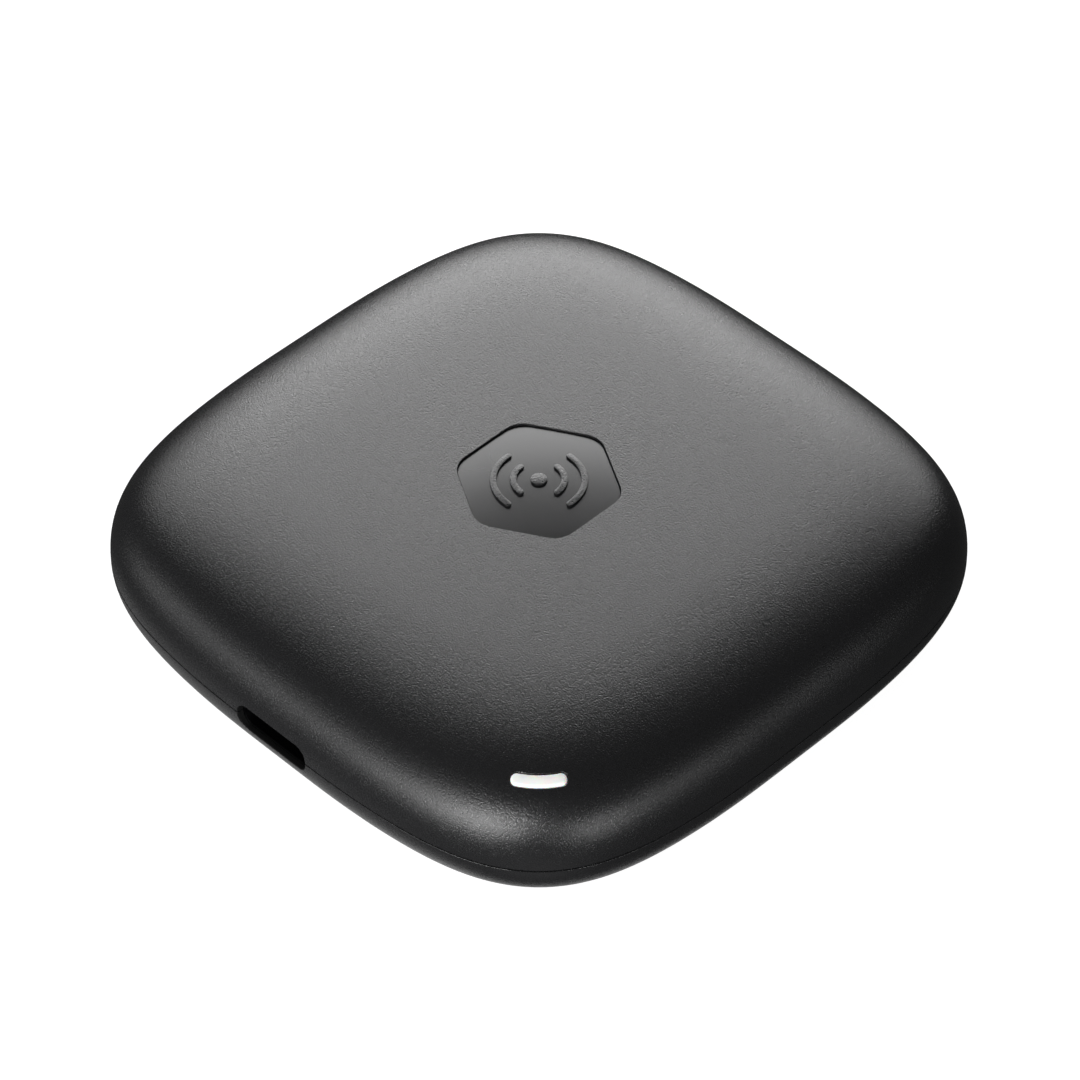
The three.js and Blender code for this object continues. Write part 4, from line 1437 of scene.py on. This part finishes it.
@dataclass(frozen=True)
class Insides:
    """The pieces that keep their CAD shape: board, switch, sounder and battery."""

    soft: float = 0.06
    travel: float = 0.25
    plain: dict[str, Finish] = field(
        default_factory=lambda: {
            "radio_chip": EPOXY,
            "charger_chip": EPOXY,
            "motion_sensor": EPOXY,
            "power_inductor": FERRITE,
            "clock_crystal": SHEET_STEEL,
            "chip_antenna": CERAMIC,
            "shield_can": SHEET_STEEL,
            "switch_base": RESIN,
            "switch_cover": SPRING_STEEL,
            "switch_terminal_front": SPRING_STEEL,
            "switch_terminal_back": SPRING_STEEL,
            "battery_board": TAPE,
            "battery_plug": NYLON,
            "battery_socket": NYLON,
            "battery_cell": FOIL,
        }
    )
    curved: dict[str, Finish] = field(
        default_factory=lambda: {
            "circuit_board": MASK,
            "switch_plunger": RESIN,
            "switch_dome": SPRING_STEEL,
            "piezo_plate": BRASS,
            "piezo_ceramic": SILVERED,
            "piezo_spring_middle": GOLD_SPRING,
            "piezo_spring_rim": GOLD_SPRING,
            "battery_pad": FOAM,
            "battery_lead_positive": RED_PVC,
            "battery_lead_negative": BLACK_PVC,
        }
    )

    def build(self) -> None:
        """Dresses every piece that keeps its CAD shape."""
        for node, finish in self.plain.items():
            keep(node, finish, self.soft)
        for node, finish in self.curved.items():
            keep(node, finish, smooth=True)
        self.flatten_dome()

    def flatten_dome(self) -> None:
        """Gives the snap dome a mesh of its own."""
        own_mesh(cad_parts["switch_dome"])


# ---------------------------------------------------------------------------- studio


@dataclass(frozen=True)
class Softbox:
    """A square soft light that faces the tag. Azimuth 0 is in front of the port, 90 on the right."""

    name: str
    azimuth: float
    elevation: float
    size: float
    power: float
    distance: float = 0.6

    def direction(self) -> Vector:
        """Gives the direction from the tag to the light."""
        a, e = math.radians(self.azimuth), math.radians(self.elevation)
        return Vector((math.sin(a) * math.cos(e), -math.cos(a) * math.cos(e), math.sin(e)))

    def build(self) -> bpy.types.Object:
        """Puts the light in the studio.

        Returns:
            The lamp.
        """
        light = bpy.data.lights.new(self.name, "AREA")
        light.shape, light.size, light.energy = "SQUARE", self.size, self.power
        lamp = bpy.data.objects.new(self.name, light)
        lamp.visible_camera = False
        lamp.location = self.direction() * self.distance
        lamp.rotation_mode = "QUATERNION"
        lamp.rotation_quaternion = self.direction().to_track_quat("Z", "Y")
        bpy.context.scene.collection.objects.link(lamp)
        return lamp


@dataclass(frozen=True)
class Studio:
    """A pale floor, soft lights, and a long lens that looks down on the light window's corner."""

    azimuth: float = 45.0
    elevation: float = 45.0
    distance: float = 430.5
    lens: float = 158.3
    aim: tuple[float, float, float] = (0.07, 0.07, 4.0)
    lift: float = 1.55
    floor_size: float = 6.0
    floor_colour: str = "9a9a9a"
    floor_glow: float = 0.93
    fill: float = 0.04
    softboxes: tuple[Softbox, ...] = (
        Softbox("back", 225, 28, 0.14, 0.39, 0.25),
        Softbox("back_right", 195, 25, 0.14, 0.17, 0.25),
        Softbox("back_left", 255, 35, 0.14, 0.17, 0.25),
        Softbox("left", 315, 4, 0.2, 0.305),
        Softbox("left_low", 350, 4, 0.2, 0.8),
        Softbox("front_left_low", 12, 4, 0.2, 1.6),
        Softbox("front_left_high", 7, 26, 0.2, 0.633),
        Softbox("front_high", 25, 18, 0.1, 1.33),
        Softbox("front_right_low", 75, 2, 0.1, 0.9),
        Softbox("right_low", 105, 4, 0.2, 0.256),
        Softbox("table_left", 283, -58, 0.4, 0.19, 0.7),
        Softbox("table_front", 45, -50, 0.4, 0.1, 0.7),
        Softbox("table_under", 225, -65, 0.4, 0.3, 0.7),
    )

    def camera(self) -> None:
        """Puts the camera in place, and points it."""
        a, e = math.radians(self.azimuth), math.radians(self.elevation)
        back = Vector((math.sin(a) * math.cos(e), -math.cos(a) * math.cos(e), math.sin(e)))
        up = Vector((-math.sin(a) * math.sin(e), math.cos(a) * math.sin(e), math.cos(e)))
        data = bpy.data.cameras.new("camera")
        data.lens, data.sensor_width, data.clip_start, data.clip_end = self.lens, 36.0, 0.01, 20.0
        camera = bpy.data.objects.new("camera", data)
        camera.location = (Vector(self.aim) + up * self.lift + back * self.distance) * MM
        camera.rotation_mode = "QUATERNION"
        camera.rotation_quaternion = back.to_track_quat("Z", "Y")
        bpy.context.scene.collection.objects.link(camera)
        bpy.context.scene.camera = camera

    def build(self) -> None:
        """Builds the floor, the lights, the even fill and the camera."""
        scene = bpy.context.scene
        half = self.floor_size / 2
        mesh = bpy.data.meshes.new("floor")
        corners = [(-half, -half, 0), (half, -half, 0), (half, half, 0), (-half, half, 0)]
        mesh.from_pydata(corners, [], [(0, 1, 2, 3)])
        floor = bpy.data.objects.new("floor", mesh)
        floor.location.z = -0.02 * MM
        scene.collection.objects.link(floor)
        table = LightTable("backlit_acrylic", self.floor_colour, 0.9, glow=self.floor_glow)
        mesh.materials.append(table.make())
        floor.visible_diffuse = floor.visible_glossy = floor.visible_shadow = False
        for softbox in self.softboxes:
            softbox.build()
        world = bpy.data.worlds.new("studio_walls")
        world.use_nodes = True
        tree = world.node_tree
        seen = add_node(tree, "ShaderNodeLightPath").outputs["Is Camera Ray"]
        strength = add_node(tree, "ShaderNodeMapRange", {"To Min": self.fill, "To Max": 1.0}, {"Value": seen})
        background = tree.nodes["Background"]
        background.inputs["Color"].default_value = linear("ffffff")
        tree.links.new(strength.outputs["Result"], background.inputs["Strength"])
        scene.world = world
        scene.view_settings.view_transform = "Standard"
        scene.view_settings.look = "None"
        self.camera()


def main() -> None:
    """Builds the tag and its studio."""
    logging.basicConfig(level=logging.INFO, format="%(name)s: %(message)s")
    casing = Casing()
    casing.build()
    LightWindow().build(casing.form)
    Button().build(casing.form)
    ChargePort().build()
    Insides().build()
    Studio().build()


if __name__ == "__main__":
    main()
